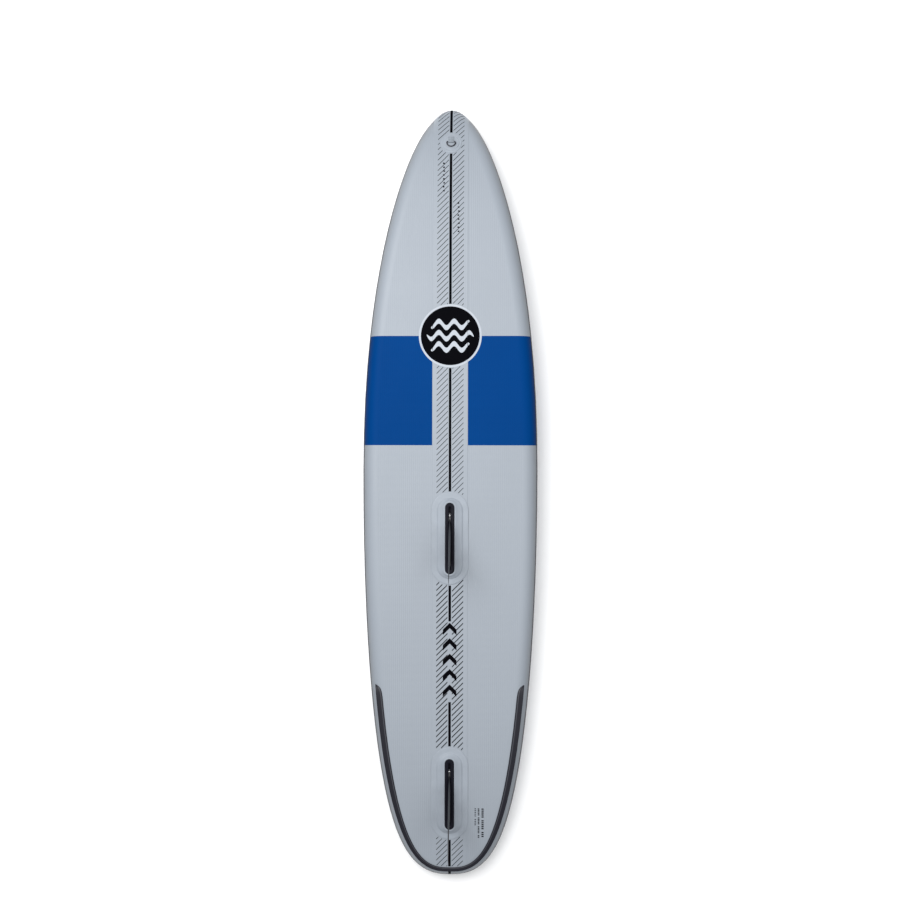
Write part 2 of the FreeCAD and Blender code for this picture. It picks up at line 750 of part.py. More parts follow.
def fin_screw(label):
    """Round head screw, its shank down through the ear into the plate nut."""
    seat = "Sizes.ear_bottom + Sizes.ear_thickness + Sizes.screw_seat_gap"
    name = label + "_fin_screw"
    head = bound_cylinder(name + "_head", "Sizes.screw_head_radius", "Sizes.screw_head_height")
    head.setExpression("Placement.Base.z", seat)
    shank = bound_cylinder(name + "_shank", "Sizes.screw_radius", "Sizes.screw_length + 0.5")
    shank.setExpression("Placement.Base.z", seat + " - Sizes.screw_length")
    drive = document.addObject("Part::Box", name + "_drive")
    drive.setExpression("Length", "Sizes.drive_length")
    drive.setExpression("Width", "Sizes.drive_width")
    drive.setExpression("Height", "2 * Sizes.drive_depth")
    drive.setExpression("Placement.Base.x", "-Sizes.drive_length / 2")
    drive.setExpression("Placement.Base.y", "-Sizes.drive_width / 2")
    drive.setExpression("Placement.Base.z", seat + " + Sizes.screw_head_height - Sizes.drive_depth")
    solid = bound_cut(name, bound_fuse(name + "_blank", [head, shank]), drive)
    keep_object(solid, name, shifted(FIN_FRAMES[label], 0, size("screw_setforward"), 0))


def fin_nut(label):
    """Plate nut that lies in the groove under the ear."""
    body = new_body(label + "_fin_nut")
    outline = new_sketch(body, label + "_nut_outline", "XY_Plane")
    sketch_rectangle(outline, "Sizes.nut_width", "Sizes.nut_length")
    pad_feature(body, outline, label + "_nut_plate", "Sizes.nut_height")
    hole = new_sketch(body, label + "_nut_hole_outline", "XY_Plane")
    sketch_circle(hole, "Sizes.screw_radius + Sizes.screw_clearance")
    pocket_feature(body, hole, label + "_nut_hole", "Sizes.nut_height")
    height = size("groove_floor") + GAP
    keep_body(body, shifted(FIN_FRAMES[label], 0, size("screw_setforward"), height))


def fin_pin(label):
    """Cross pin at the back of the base tab, riding in the grooves."""
    name = label + "_fin_pin"
    pin = bound_cylinder(name, "Sizes.pin_radius", "Sizes.pin_length")
    across = Placement(Vector(-0.5 * size("pin_length"), -size("pin_setback"), pin_height()),
                       Rotation(Vector(0, 1, 0), 90))
    keep_object(pin, name, FIN_FRAMES[label] * across)


for label in ("mid", "rear"):
    fin(label)
    fin_screw(label)
    fin_nut(label)
    fin_pin(label)


# ---------------------------------------------------------------- D-rings on round patches

def d_ring():
    """D-ring lying flat: a straight bar on the X axis and a half-round bow toward -Y."""
    wire, half, corner = size("ring_wire_radius"), size("ring_half_width"), size("ring_corner")
    flat = half - corner
    bend = corner * (1 - math.sqrt(0.5))
    right = [Vector(flat, 0, 0), Vector(half - bend, -bend, 0), Vector(half, -corner, 0)]
    bow = [right[2], Vector(0, -corner - half, 0), Vector(-half, -corner, 0)]
    left = [bow[2], Vector(-half + bend, -bend, 0), Vector(-flat, 0, 0)]
    edges = [Part.makeLine(Vector(0, 0, 0), right[0])]
    edges += [Part.Arc(*arc).toShape() for arc in (right, bow, left)]
    edges.append(Part.makeLine(left[2], Vector(0, 0, 0)))
    section = Part.Wire(Part.makeCircle(wire, Vector(0, 0, 0), Vector(1, 0, 0)))
    return Part.Wire(edges).makePipeShell([section], True, False)


def webbing_loop(height):
    """Webbing folded round the bar, its tail running forward flat on the boss."""
    thickness, width = size("webbing_thickness"), size("webbing_width")
    inner = size("ring_wire_radius") + size("loop_clearance")
    outer = inner + thickness
    tube = Part.makeCylinder(outer, width, Vector(-width / 2, 0, height), Vector(1, 0, 0))
    tail = Part.makeBox(width, size("webbing_tail"), thickness, Vector(-width / 2, 0, height - outer))
    bore = Part.makeCylinder(inner, width + 2, Vector(-width / 2 - 1, 0, height), Vector(1, 0, 0))
    return tube.fuse(tail).cut(bore).removeSplitter()


BOSS_DEPTH = 6.0
BOSS_DRAFT = 2.5


def ring_set(label, station, base, deck):
    """Round moulded patch, webbing loop and D-ring; the deck's ring hangs down."""
    frame = frame_at(station, base, deck=deck)
    radius = size("disc_radius")
    reach = radius + 8

    def follow(thickness):
        low, high = (-base - thickness, -base) if deck else (base, base + thickness)
        return hull_layer(low, high, reach, station - reach, station + reach)

    disc = Part.makeCylinder(radius, TOOL_DEPTH, Vector(0, 0, -0.5 * TOOL_DEPTH))
    boss = Part.makeCone(size("boss_radius"), size("boss_radius") - BOSS_DRAFT,
                         size("boss_height") + BOSS_DEPTH, Vector(0, 0, -BOSS_DEPTH))
    for shape in (disc, boss):
        shape.Placement = frame
    patch = disc.common(follow(size("disc_flange"))).fuse(boss.common(follow(radius))).removeSplitter()
    add_feature(label + "_patch", as_solid(patch))
    fold = size("loop_clearance") + size("webbing_thickness")
    bar = size("boss_height") + GAP + size("ring_wire_radius") + fold
    place = shifted(frame, 0, size("ring_forward"), 0)
    local_part(label + "_strap", as_solid(webbing_loop(bar)), place)
    hang = Placement(Vector(0, 0, bar), Rotation(Vector(1, 0, 0), -90 if deck else 0))
    local_part(label + "_ring", d_ring(), place * hang)


ring_set("tow", size("tow_station"), STRIP_TOP + GAP, False)
ring_set("leash", size("leash_station"), RAIL + GAP, True)


# ---------------------------------------------------------------- inflation valve

def ring_solid(outer, inner, height, base):
    """A flat ring about the Z axis."""
    return Part.makeCylinder(outer, height, Vector(0, 0, base)).cut(
        Part.makeCylinder(inner, height + 2, Vector(0, 0, base - 1)))


def clean_fuse(base, others):
    """Union of solids as one solid."""
    return as_solid(base.fuse(others).removeSplitter())


def valve_housing():
    """Flanged tube with a hub on four arms that guides the plunger's stem."""
    bore, depth, stem = size("valve_bore_radius"), size("valve_tube_length"), size("valve_stem_radius")
    guide = stem + 0.08
    width, height = size("valve_arm_width"), size("valve_arm_height")
    hub_low = -size("valve_hub_depth")
    collar = ring_solid(size("valve_flange_radius"), bore, size("valve_flange_height"), VALVE_BASE)
    barrel = ring_solid(size("valve_tube_radius"), bore, depth + VALVE_BASE + 1, -depth)
    hub = ring_solid(2 * stem, guide, size("valve_hub_height"), hub_low)
    reach = bore + 1
    across = Part.makeBox(2 * reach, width, height, Vector(-reach, -width / 2, hub_low + 1))
    along = Part.makeBox(width, 2 * reach, height, Vector(-width / 2, -reach, hub_low + 1))
    spider = across.fuse(along).cut(Part.makeCylinder(guide, 2 * depth, Vector(0, 0, -depth)))
    seat = ring_solid(bore + 1, bore - 5, 2, -depth)
    return clean_fuse(collar, [barrel, hub, spider, seat])


def valve_plunger():
    """Button, stem and the end plate that carries the rubber disc."""
    depth, button = size("valve_tube_length"), size("valve_button_height")
    disc = size("valve_disc_thickness")
    shaft = Part.makeCylinder(size("valve_stem_radius"), depth + 3, Vector(0, 0, -depth - 3))
    head = Part.makeCylinder(size("valve_button_radius"), button, Vector(0, 0, -button))
    plate_base = -depth - 2 * disc - 2 * GAP
    plate = Part.makeCylinder(size("valve_poppet_radius") - 3, disc, Vector(0, 0, plate_base))
    return clean_fuse(shaft, [head, plate])


def valve_cap():
    """Screw cap with a skirt inside the bore and a finger bar across the top."""
    bore = size("valve_bore_radius")
    base = VALVE_BASE + size("valve_flange_height") + GAP
    height = size("valve_cap_height")
    length, width = size("valve_grip_length"), size("valve_grip_width")
    cover = Part.makeCylinder(size("valve_cap_radius"), height, Vector(0, 0, base))
    skirt = ring_solid(bore - 0.1, bore - 2, base + 2, -1)
    corner = Vector(-length / 2, -width / 2, base + height - 0.5)
    bar = Part.makeBox(length, width, size("valve_grip_height") + 0.5, corner)
    return clean_fuse(cover, [skirt, bar])


def valve():
    """Push valve clamped through the deck skin by a nut on the inside."""
    tube, seal = size("valve_tube_radius"), size("valve_seal_height")
    stem, disc = size("valve_stem_radius"), size("valve_disc_thickness")
    local_part("valve_body", valve_housing(), valve_frame)
    washer = ring_solid(size("valve_flange_radius") - 1, tube + GAP, seal, GAP)
    local_part("valve_seal", washer, valve_frame)
    nut_height = size("valve_nut_height")
    nut_base = -size("skin_thickness") - GAP - nut_height
    nut = ring_solid(size("valve_nut_radius"), tube + GAP, nut_height, nut_base)
    local_part("valve_nut", nut, valve_frame)
    local_part("valve_plunger", valve_plunger(), valve_frame)
    poppet_base = -size("valve_tube_length") - disc - 0.1 - GAP
    poppet = ring_solid(size("valve_poppet_radius"), stem + 0.05, disc, poppet_base)
    local_part("valve_poppet", poppet, valve_frame)
    spring_base = -size("valve_hub_depth") + size("valve_hub_height") + GAP
    spring_top = -size("valve_button_height") - size("valve_travel") - 2 * GAP
    spring = ring_solid(size("valve_spring_radius"), size("valve_spring_bore"),
                        spring_top - spring_base, spring_base)
    local_part("valve_spring", spring, valve_frame)
    local_part("valve_cap", valve_cap(), valve_frame)


VALVE_BASE = size("valve_seal_height") + 2 * GAP
valve()


# ---------------------------------------------------------------- carry handle

def handle_patch(name, side):
    """Anchor block with a blind bore that the strap end turns in."""
    block = document.addObject("Part::Box", name + "_block")
    block.setExpression("Length", "Sizes.handle_patch_width")
    block.setExpression("Width", "Sizes.handle_patch_length")
    block.setExpression("Height", "Sizes.handle_patch_height - Sizes.handle_patch_gap")
    near = "Sizes.handle_span / 2" if side > 0 else "-Sizes.handle_span / 2 - Sizes.handle_patch_length"
    block.setExpression("Placement.Base.x", "-Sizes.handle_patch_width / 2")
    block.setExpression("Placement.Base.y", near)
    block.setExpression("Placement.Base.z", "Sizes.handle_patch_gap")
    bore = bound_cylinder(name + "_bore", "Sizes.handle_barrel + 0.06", "Sizes.handle_barrel_length")
    mouth = Vector(0, side * (0.5 * size("handle_span") - 1), size("handle_axis_height"))
    bore.Placement = Placement(mouth, Rotation(Vector(1, 0, 0), -90 * side))
    keep_object(bound_cut(name, block, bore), name, handle_frame)


HANDLE_SHOULDER = 50.0


def handle_strap():
    """Arched webbing with tapered ends and a round stub at each end."""
    half_span, rise, axis = 0.5 * size("handle_span"), size("handle_rise"), size("handle_axis_height")
    half_thick = 0.5 * size("handle_strap")
    reach = half_span - 3
    arcs = []
    for height in (axis - half_thick, axis + half_thick):
        points = [Vector(0, -reach, height), Vector(0, 0, height + rise), Vector(0, reach, height)]
        arcs.append(Part.Arc(*points).toShape())
    low, high = axis - half_thick, axis + half_thick
    ends = [Part.makeLine(Vector(0, s * reach, low), Vector(0, s * reach, high)) for s in (-1, 1)]
    side = Part.Face(Part.Wire(Part.__sortEdges__(arcs + ends)))
    width, end_width = size("handle_width"), size("handle_end_width")
    arch = side.extrude(Vector(width, 0, 0))
    arch.translate(Vector(-width / 2, 0, 0))
    shoulder = half_span - HANDLE_SHOULDER
    quarter = [(end_width / 2, half_span), (width / 2, shoulder),
               (width / 2, -shoulder), (end_width / 2, -half_span)]
    plan = [Vector(x, y, 0) for x, y in quarter] + [Vector(-x, y, 0) for x, y in reversed(quarter)]
    arch = arch.common(Part.Face(Part.makePolygon(plan + plan[:1])).extrude(Vector(0, 0, half_span)))
    stub_length = size("handle_barrel_length") + 2
    stubs = []
    for s in (-1, 1):
        start = Vector(0, s * (reach - 3), axis)
        stubs.append(Part.makeCylinder(size("handle_barrel"), stub_length, start, Vector(0, s, 0)))
    return clean_fuse(arch, stubs)


def handle_grip():
    """Sleeve wrapped round the middle of the strap, following its arch."""
    half_span, rise = 0.5 * size("handle_span") - 3, size("handle_rise")
    radius = (half_span ** 2 + rise ** 2) / (2 * rise)
    middle = size("handle_axis_height") + rise - radius
    width, length, thick = size("grip_width"), size("grip_length"), size("grip_height") / 2
    outer = ring_solid(radius + thick, radius - thick, width, -width / 2)
    hole_width, hole = size("handle_width") + 2 * GAP, size("handle_strap") / 2 + GAP
    inner = ring_solid(radius + hole, radius - hole, hole_width, -hole_width / 2)
    sleeve = outer.cut(inner)
    sleeve.Placement = Placement(Vector(0, 0, middle), Rotation(Vector(0, 1, 0), 90))
    ends = Part.makeBox(width + 2, length, 2 * half_span, Vector(-width / 2 - 1, -length / 2, 0))
    return as_solid(sleeve.common(ends))


handle_patch("handle_patch_front", 1)
handle_patch("handle_patch_rear", -1)
local_part("handle_strap", handle_strap(), handle_frame)
local_part("handle_grip", handle_grip(), handle_frame)


# ---------------------------------------------------------------- mast foot plate

MAST_LIFT = GAP + 0.1


def mast_plate():
    """Round plate with a boss that holds the threaded insert."""
    body = new_body("mast_plate")
    disc = new_sketch(body, "mast_disc_outline", "XY_Plane")
    sketch_circle(disc, "Sizes.mast_plate_radius")
    pad_feature(body, disc, "mast_disc", "Sizes.mast_plate_height")
    boss = new_sketch(body, "mast_boss_outline", "XY_Plane")
    sketch_circle(boss, "Sizes.mast_boss_radius")
    pad_feature(body, boss, "mast_boss", "Sizes.mast_boss_height")
    seat = new_sketch(body, "mast_seat_outline", "XY_Plane", "Sizes.mast_plate_floor")
    sketch_circle(seat, "Sizes.insert_radius + Sizes.gap / 2")
    pocket_feature(body, seat, "mast_seat", "Sizes.mast_boss_height")
    keep_body(body, shifted(mast_frame, 0, 0, MAST_LIFT))


def mast_insert():
    """Threaded insert, blind, open at the top of the boss."""
    body = new_body("mast_insert")
    outline = new_sketch(body, "insert_outline", "XY_Plane")
    sketch_circle(outline, "Sizes.insert_radius")
    pad_feature(body, outline, "insert_barrel", "Sizes.insert_height")
    hole = new_sketch(body, "insert_thread_outline", "XY_Plane", "Sizes.insert_height - Sizes.thread_depth")
    sketch_circle(hole, "Sizes.thread_radius")
    pocket_feature(body, hole, "insert_thread", "Sizes.insert_height")
    keep_body(body, shifted(mast_frame, 0, 0, MAST_LIFT + size("mast_plate_floor") + 0.1))


mast_plate()
mast_insert()


# ---------------------------------------------------------------- rest placement and output

def rest_placement():
    """Placement that rests the nose rail and the tail rail on z = 0, centred in plan."""
    nose, tail = surface(LENGTH - RAIL, 0), surface(RAIL, 0)
    tilt = math.degrees(math.atan2(tail.z - nose.z, nose.y - tail.y))
    turned = Placement(Vector(0, 0, 0), Rotation(Vector(1, 0, 0), tilt))
    whole = FreeCAD.BoundBox()
    for item, local in PARTS:
        shape = item.Shape.copy()
        shape.Placement = turned * local
        whole.add(shape.optimalBoundingBox(True, False))
    shift = Vector(-whole.Center.x, -whole.Center.y, -whole.ZMin)
    return Placement(shift, turned.Rotation)


def check_part(item):
    """Stop if an object is in error or its shape isn't sound; only the core has several blocks."""
    if any(word in item.State for word in ("Invalid", "Error")):
        raise RuntimeError("%s is in state %s" % (item.Label, item.State))
    if item.Shape.isNull() or not item.Shape.isValid():
        raise RuntimeError("%s has no valid shape" % item.Label)
    if not item.Shape.Solids or item.Shape.Volume <= 0:
        raise RuntimeError("%s has no solid" % item.Label)
    if len(item.Shape.Solids) > 1 and item.Label != "dropstitch_core":
        raise RuntimeError("%s isn't one solid" % item.Label)


document.recompute()
BOARD = rest_placement()
for item, local in PARTS:
    item.Placement = BOARD * local
document.recompute()
for item in document.Objects:
    if any(word in item.State for word in ("Invalid", "Error")):
        raise RuntimeError("%s is in state %s" % (item.Name, item.State))
os.makedirs("parts", exist_ok=True)
for item, local in PARTS:
    check_part(item)
    item.Shape.exportStep("parts/%s.step" % item.Label)
print("%d parts" % len(PARTS))
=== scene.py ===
from math import asin, copysign, cos, degrees, hypot, pi, radians, sin, sqrt
import bmesh
import bpy
from mathutils import Matrix, Vector


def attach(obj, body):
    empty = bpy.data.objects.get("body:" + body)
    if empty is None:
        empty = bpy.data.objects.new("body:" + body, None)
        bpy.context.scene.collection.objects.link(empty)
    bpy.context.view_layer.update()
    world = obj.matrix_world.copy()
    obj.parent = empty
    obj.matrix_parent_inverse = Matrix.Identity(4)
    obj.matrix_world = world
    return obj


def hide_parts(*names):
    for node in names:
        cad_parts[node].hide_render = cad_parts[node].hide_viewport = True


move = Matrix.Translation

# Looks of an inflatable stand up paddleboard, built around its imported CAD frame.
# Shapes are worked out in the board frame in millimetres: X across, Y toward the nose and
# Z out of the bottom skin. BOARD then lays the board deck down on the floor, in metres.

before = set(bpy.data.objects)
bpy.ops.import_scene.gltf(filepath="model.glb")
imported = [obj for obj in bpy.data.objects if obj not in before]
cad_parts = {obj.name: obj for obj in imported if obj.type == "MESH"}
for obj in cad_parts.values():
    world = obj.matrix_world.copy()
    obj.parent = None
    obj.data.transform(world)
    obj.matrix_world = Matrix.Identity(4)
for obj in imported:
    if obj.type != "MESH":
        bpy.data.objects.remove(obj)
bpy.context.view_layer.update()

MM = 0.001
# the board's origin and pitch once it lies deck down on the floor
BOARD = move((0.0, -1.6680381, 0.0873878)) @ Matrix.Rotation(0.0467909985, 4, "X")

# length along the curve, rail radius, the flat panel's half width and where it is widest
LENGTH, RAIL = 3353.0, 63.5
HALF_WIDTH, WIDEST = 309.6, 1738.0
# superellipse powers of the outline, then length and radius of each arc of the rocker
POWERS = {"nose": (2.162, 1.387), "tail": (2.068, 2.866)}
NOSE_ARCS = ((900.0, 12000.0), (400.0, 3000.0), (300.0, 700.0))
TAIL_ARCS = ((720.0, 8000.0),)
FLAT_START = 720.0
FLAT_END = LENGTH - sum(length for length, radius in NOSE_ARCS)
GAP = 0.2
STRIP_BASE = RAIL + GAP
STRIP_TOP = STRIP_BASE + 1.0
STRIP_HALF = 76.0
PATCH_BASE = STRIP_TOP + GAP
MID_BOX, REAR_BOX = 1453.0, 370.0
FIN_OFFSET = -4.0
TOW_STATION, LEASH_STATION = 3147.5, 446.0
EMBLEM_STATION = 2312.0
BLUE_START, BLUE_END = 1848.0, 2314.0


# ---------------------------------------------------------------- board shape

def rocker(station):
    """Y, Z and nose-down slope of the mid-plane at a distance along it."""
    if station > FLAT_END:
        start, arcs, direction, y = FLAT_END, NOSE_ARCS, 1.0, FLAT_END
    elif station < FLAT_START:
        start, arcs, direction, y = FLAT_START, TAIL_ARCS, -1.0, FLAT_START
    else:
        return station, 0.0, 0.0
    left, slope, z = abs(station - start), 0.0, 0.0
    for index, (length, radius) in enumerate(arcs):
        step = left if index == len(arcs) - 1 else min(left, length)
        turned = slope + step / radius
        y += direction * radius * (sin(turned) - sin(slope))
        z -= radius * (cos(slope) - cos(turned))
        slope = turned
        left -= step
        if left <= 0:
            break
    return y, z, direction * slope


def surface(station, height, x=0.0):
    """A point at a height above the mid-plane, measured along its normal."""
    y, z, slope = rocker(station)
    return Vector((x, y + height * sin(slope), z + height * cos(slope)))


def local_frame(station, height, x=0.0, deck=False):
    """Matrix of a frame whose XY plane lies on the hull and whose Z points out of it."""
    tilt = Matrix.Rotation(-rocker(station)[2], 4, "X")
    if deck:
        tilt = tilt @ Matrix.Rotation(pi, 4, "Y")
    return move(surface(station, -height if deck else height, x)) @ tilt


def outline_point(half, angle):
    """Station and half width of the flat panel's outline at one superellipse angle."""
    power, width_power = POWERS[half]
    reach = (LENGTH - RAIL - WIDEST) if half == "nose" else -(WIDEST - RAIL)
    along = sin(radians(angle)) ** (2 / power)
    across = max(0.0, cos(radians(angle))) ** (2 / width_power) if angle < 90 else 0.0
    return WIDEST + reach * along, HALF_WIDTH * across


def panel_half_width(station):
    """Half width of the flat panel at a distance from the tail end."""
    half = "nose" if station > WIDEST else "tail"
    power, width_power = POWERS[half]
    reach = (LENGTH - RAIL - WIDEST) if half == "nose" else (WIDEST - RAIL)
    along = min(1.0, abs(station - WIDEST) / reach) ** power
    return HALF_WIDTH * (1 - along) ** (1 / width_power)


def rail_frame(half, angle, side):
    """Centre of the rail circle, its outward direction and its normal."""
    station, x = outline_point(half, angle)
    slope = rocker(station)[2]
    normal = Vector((0, sin(slope), cos(slope)))
    along = Vector((0, cos(slope), -sin(slope)))
    sign = 1.0 if half == "nose" else -1.0
    if angle >= 90:
        outward = along * sign
    elif angle <= 0:
        outward = Vector((side, 0, 0))
    else:
        before, after = outline_point(half, angle - 0.01), outline_point(half, angle + 0.01)
        run, rise = after[0] - before[0], after[1] - before[1]
        outward = (Vector((side * run * sign, 0, 0)) + along * (-rise * sign)).normalized()
    return surface(station, 0.0, side * x), outward, normal


def rail_point(place, radius, angle):
    """A point on the rail circle; angle 0 is the bottom skin, 180 the deck skin."""
    centre, outward, normal = place
    turn = radians(angle)
    return centre + outward * (radius * sin(turn)) + normal * (radius * cos(turn))


def panel_gap(x, station):
    """Distance of a plan point outside the flat panel's outline, and the nearest outline angle."""
    half = "nose" if station > WIDEST else "tail"
    if abs(x) < panel_half_width(station):
        return 0.0, half, 90.0

    def gap(angle):
        place, width = outline_point(half, angle)
        return hypot(place - station, width - abs(x))

    best = min(range(91), key=gap)
    low, high = max(0.0, best - 1.5), min(90.0, best + 1.5)
    for _ in range(26):
        third = (high - low) / 3
        if gap(low + third) < gap(high - third):
            high -= third
        else:
            low += third
    angle = 0.5 * (low + high)
    return gap(angle), half, angle


def drape(x, station, lift):
    """A point lying on the bottom of the hull, carried over the rail outside the flat panel."""
    distance, half, angle = panel_gap(x, station)
    if distance == 0.0:
        return surface(station, RAIL + lift, x)
    turn = degrees(asin(min(0.999, distance / RAIL)))
    return rail_point(rail_frame(half, angle, copysign(1.0, x)), RAIL + lift, turn)


TAIL_STEPS = (0, 0.1, 0.3, 0.6, 1, 1.5, 2.2, 3, 4, 5, 6, 7.5, 9, 11, 13, 15, 17.5, 20, 22.5, 25, 28,
              31, 34, 37, 40, 43, 46, 50, 54, 58, 62, 66, 70, 75, 80, 85, 90)
NOSE_STEPS = (0, 0.5, 1.2, 2, 3, 4, 5, 6.2, 7.5, 9, 10.5, 12, 14, 16, 18, 20, 22, 24, 26, 28, 30, 32.5,
              35, 37.5, 40, 43, 46, 50, 54, 58, 62, 66, 70, 75, 80, 85)
OUTLINE = [("tail", 90.0 - step) for step in TAIL_STEPS]
OUTLINE += [("nose", 90.0 - step) for step in reversed(NOSE_STEPS)]


# ---------------------------------------------------------------- mesh helpers

def to_world(point):
    """A board-frame point in millimetres as a world point in metres."""
    return BOARD @ (Vector(point) * MM)


def linked(name, data):
    """A new object in the scene."""
    thing = bpy.data.objects.new(name, data)
    bpy.context.scene.collection.objects.link(thing)
    return thing


def add_object(name, mesh, body, materials):
    """An object that shows a mesh, rides on a CAD body and takes the given materials."""
    mesh.polygons.foreach_set("use_smooth", [True] * len(mesh.polygons))
    piece = linked(name, mesh)
    for material in materials:
        piece.data.materials.append(material)
    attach(piece, body)
    return piece


WELD, SLIVER = 2e-6, 1e-6


def mesh_from(name, points, faces, sharp_angle=35.0):
    """A mesh from board-frame points, welded, with outward normals and sharp edges marked."""
    mesh = bpy.data.meshes.new(name)
    mesh.from_pydata([to_world(p) for p in points], [], faces)
    work = bmesh.new()
    work.from_mesh(mesh)
    bmesh.ops.remove_doubles(work, verts=work.verts, dist=WELD)
    bmesh.ops.dissolve_degenerate(work, edges=work.edges, dist=SLIVER)
    bmesh.ops.recalc_face_normals(work, faces=work.faces)
    mark_sharp(work, sharp_angle)
    work.to_mesh(mesh)
    work.free()
    return mesh


def mark_sharp(work, angle):
    """Edges that turn by more than an angle stay crisp under smooth shading."""
    limit = radians(angle)
    for edge in work.edges:
        if len(edge.link_faces) == 2 and edge.calc_face_angle(0.0) > limit:
            edge.smooth = False


def ring_faces(rings, loop=False, caps=True):
    """Faces that join rings of equal length, each ring a closed loop."""
    count = len(rings[0])
    faces = []
    last = len(rings) if loop else len(rings) - 1
    for i in range(last):
        a, b = i * count, ((i + 1) % len(rings)) * count
        for j in range(count):
            k = (j + 1) % count
            faces.append((a + j, a + k, b + k, b + j))
    if caps and not loop:
        faces.append(tuple(reversed(range(count))))
        faces.append(tuple(range((len(rings) - 1) * count, len(rings) * count)))
    return faces


def shell_mesh(name, shells, sharp_angle=35.0):
    """One mesh from several closed shells; each is its rings, whether they form a loop, and its caps."""
    points, faces = [], []
    for rings, loop, caps in shells:
        start = len(points)
        points += [p for ring in rings for p in ring]
        faces += [tuple(start + i for i in face) for face in ring_faces(rings, loop, caps)]
    return mesh_from(name, points, faces, sharp_angle)


def loft(name, rings, body, materials, loop=False, caps=True, sharp_angle=35.0):
    """A closed solid through a series of rings."""
    return add_object(name, shell_mesh(name, [(rings, loop, caps)], sharp_angle), body, materials)


# ---------------------------------------------------------------- shape helpers

def soft_step(value):
    """Smooth rise from 0 to 1."""
    value = max(0.0, min(1.0, value))
    return value * value * (3 - 2 * value)


def ribbon(name, strips, material, low, high):
    """Thin closed strips lying on the hull; each strip is a list of pairs of plan points."""
    shells = []
    for strip in strips:
        rings = []
        for (x1, s1), (x2, s2) in strip:
            first, second = high(x1), high(x2)
            rings.append([drape(x1, s1, first), drape(x2, s2, second),
                          drape(x2, s2, low(x2)), drape(x1, s1, low(x1))])
        shells.append((rings, False, True))
    return add_object(name, shell_mesh(name, shells, 60.0), "hull", [material])


def turns(start, stop, step):
    """Angles in radians from a range of whole degrees."""
    return [radians(d) for d in range(start, stop, step)]


def circle(count):
    """Angles in radians that go once round in equal steps."""
    return [2 * pi * i / count for i in range(count)]


def moved(matrix, points):
    """Local points moved by a matrix."""
    return [matrix @ Vector(p) for p in points]


def lathe_rings(profile, matrix, steps=48, wobble=None):
    """Rings about the local Z axis through a profile of radius and height."""
    rings = []
    for radius, height in profile:
        ring = []
        for turn in circle(steps):
            r = radius * (1 + (wobble(turn, radius) if wobble else 0.0))
            ring.append((r * cos(turn), r * sin(turn), height))
        rings.append(moved(matrix, ring))
    return rings


def stadium_loop(half_length, half_width, height, steps=14):
    """Round-ended loop, long along local Y."""
    reach = half_length - half_width
    loop = []
    for centre, start in ((reach, 0.0), (-reach, pi)):
        for i in range(steps + 1):
            turn = start + pi * i / steps
            loop.append((half_width * cos(turn), centre + half_width * sin(turn), height))
        if centre > 0:
            loop += [(-half_width, reach * (1 - 2 * i / 8), height) for i in range(1, 8)]
    loop += [(half_width, -reach * (1 - 2 * i / 8), height) for i in range(1, 8)]
    return loop


def rounded_loop(half_x, half_y, radius, height, steps=6):
    """Rounded rectangle loop."""
    loop = []
    corners = ((half_x, half_y, 0.0), (-half_x, half_y, 90.0), (-half_x, -half_y, 180.0),
               (half_x, -half_y, 270.0))
    for x, y, start in corners:
        cx, cy = x - copysign(radius, x), y - copysign(radius, y)
        for i in range(steps + 1):
            turn = radians(start + 90.0 * i / steps)
            loop.append((cx + radius * cos(turn), cy + radius * sin(turn), height))
    return loop


def sweep_rings(path, radius, matrix, sides=16):
    """Round wire along a closed path in the local XY plane."""
    rings = []
    count = len(path)
    for i, (x, y) in enumerate(path):
        ax, ay = path[i - 1]
        bx, by = path[(i + 1) % count]
        run = hypot(bx - ax, by - ay)
        nx, ny = (by - ay) / run, -(bx - ax) / run
        ring = []
        for turn in circle(sides):
            out = radius * cos(turn)
            ring.append((x + nx * out, y + ny * out, radius * sin(turn)))
        rings.append(moved(matrix, ring))
    return rings


def band_rings(path, width, thickness, matrix, edge=0.35):
    """Flat band along a path in the local YZ plane, with softened edges."""
    rings = []
    half_w, half_t = 0.5 * width, 0.5 * thickness
    for i, (y, z) in enumerate(path):
        ay, az = path[max(0, i - 1)]
        by, bz = path[min(len(path) - 1, i + 1)]
        run = hypot(by - ay, bz - az)
        ny, nz = -(bz - az) / run, (by - ay) / run
        outline = [(half_w - edge, half_t), (-half_w + edge, half_t), (-half_w, half_t - edge),
                   (-half_w, -half_t + edge), (-half_w + edge, -half_t), (half_w - edge, -half_t),
                   (half_w, -half_t + edge), (half_w, half_t - edge)]
        rings.append(moved(matrix, [(x, y + ny * t, z + nz * t) for x, t in outline]))
    return rings


STITCH_WIDTH, STITCH_HEIGHT = 0.8, 0.45


def sew(name, stitches, matrix, body, material, length=2.8):
    """Thread stitches as small pillows; each is x, y, z, direction and lean in degrees."""
    shells = []
    for x, y, z, direction, lean in stitches:
        turn = move((x, y, z)) @ Matrix.Rotation(radians(lean), 4, "X")
        turn = matrix @ turn @ Matrix.Rotation(radians(direction), 4, "Z")
        loops = []
        for along, scale in ((-0.5, 0.25), (-0.42, 0.8), (0.0, 1.0), (0.42, 0.8), (0.5, 0.25)):
            half, rise = 0.5 * STITCH_WIDTH * scale, STITCH_HEIGHT * scale
            loops.append(moved(turn, [(half * cos(a), along * length, rise * sin(a))
                                      for a in turns(0, 360, 60)]))
        shells.append((loops, False, True))
    return add_object(name, shell_mesh(name, shells, 80.0), body, [material])


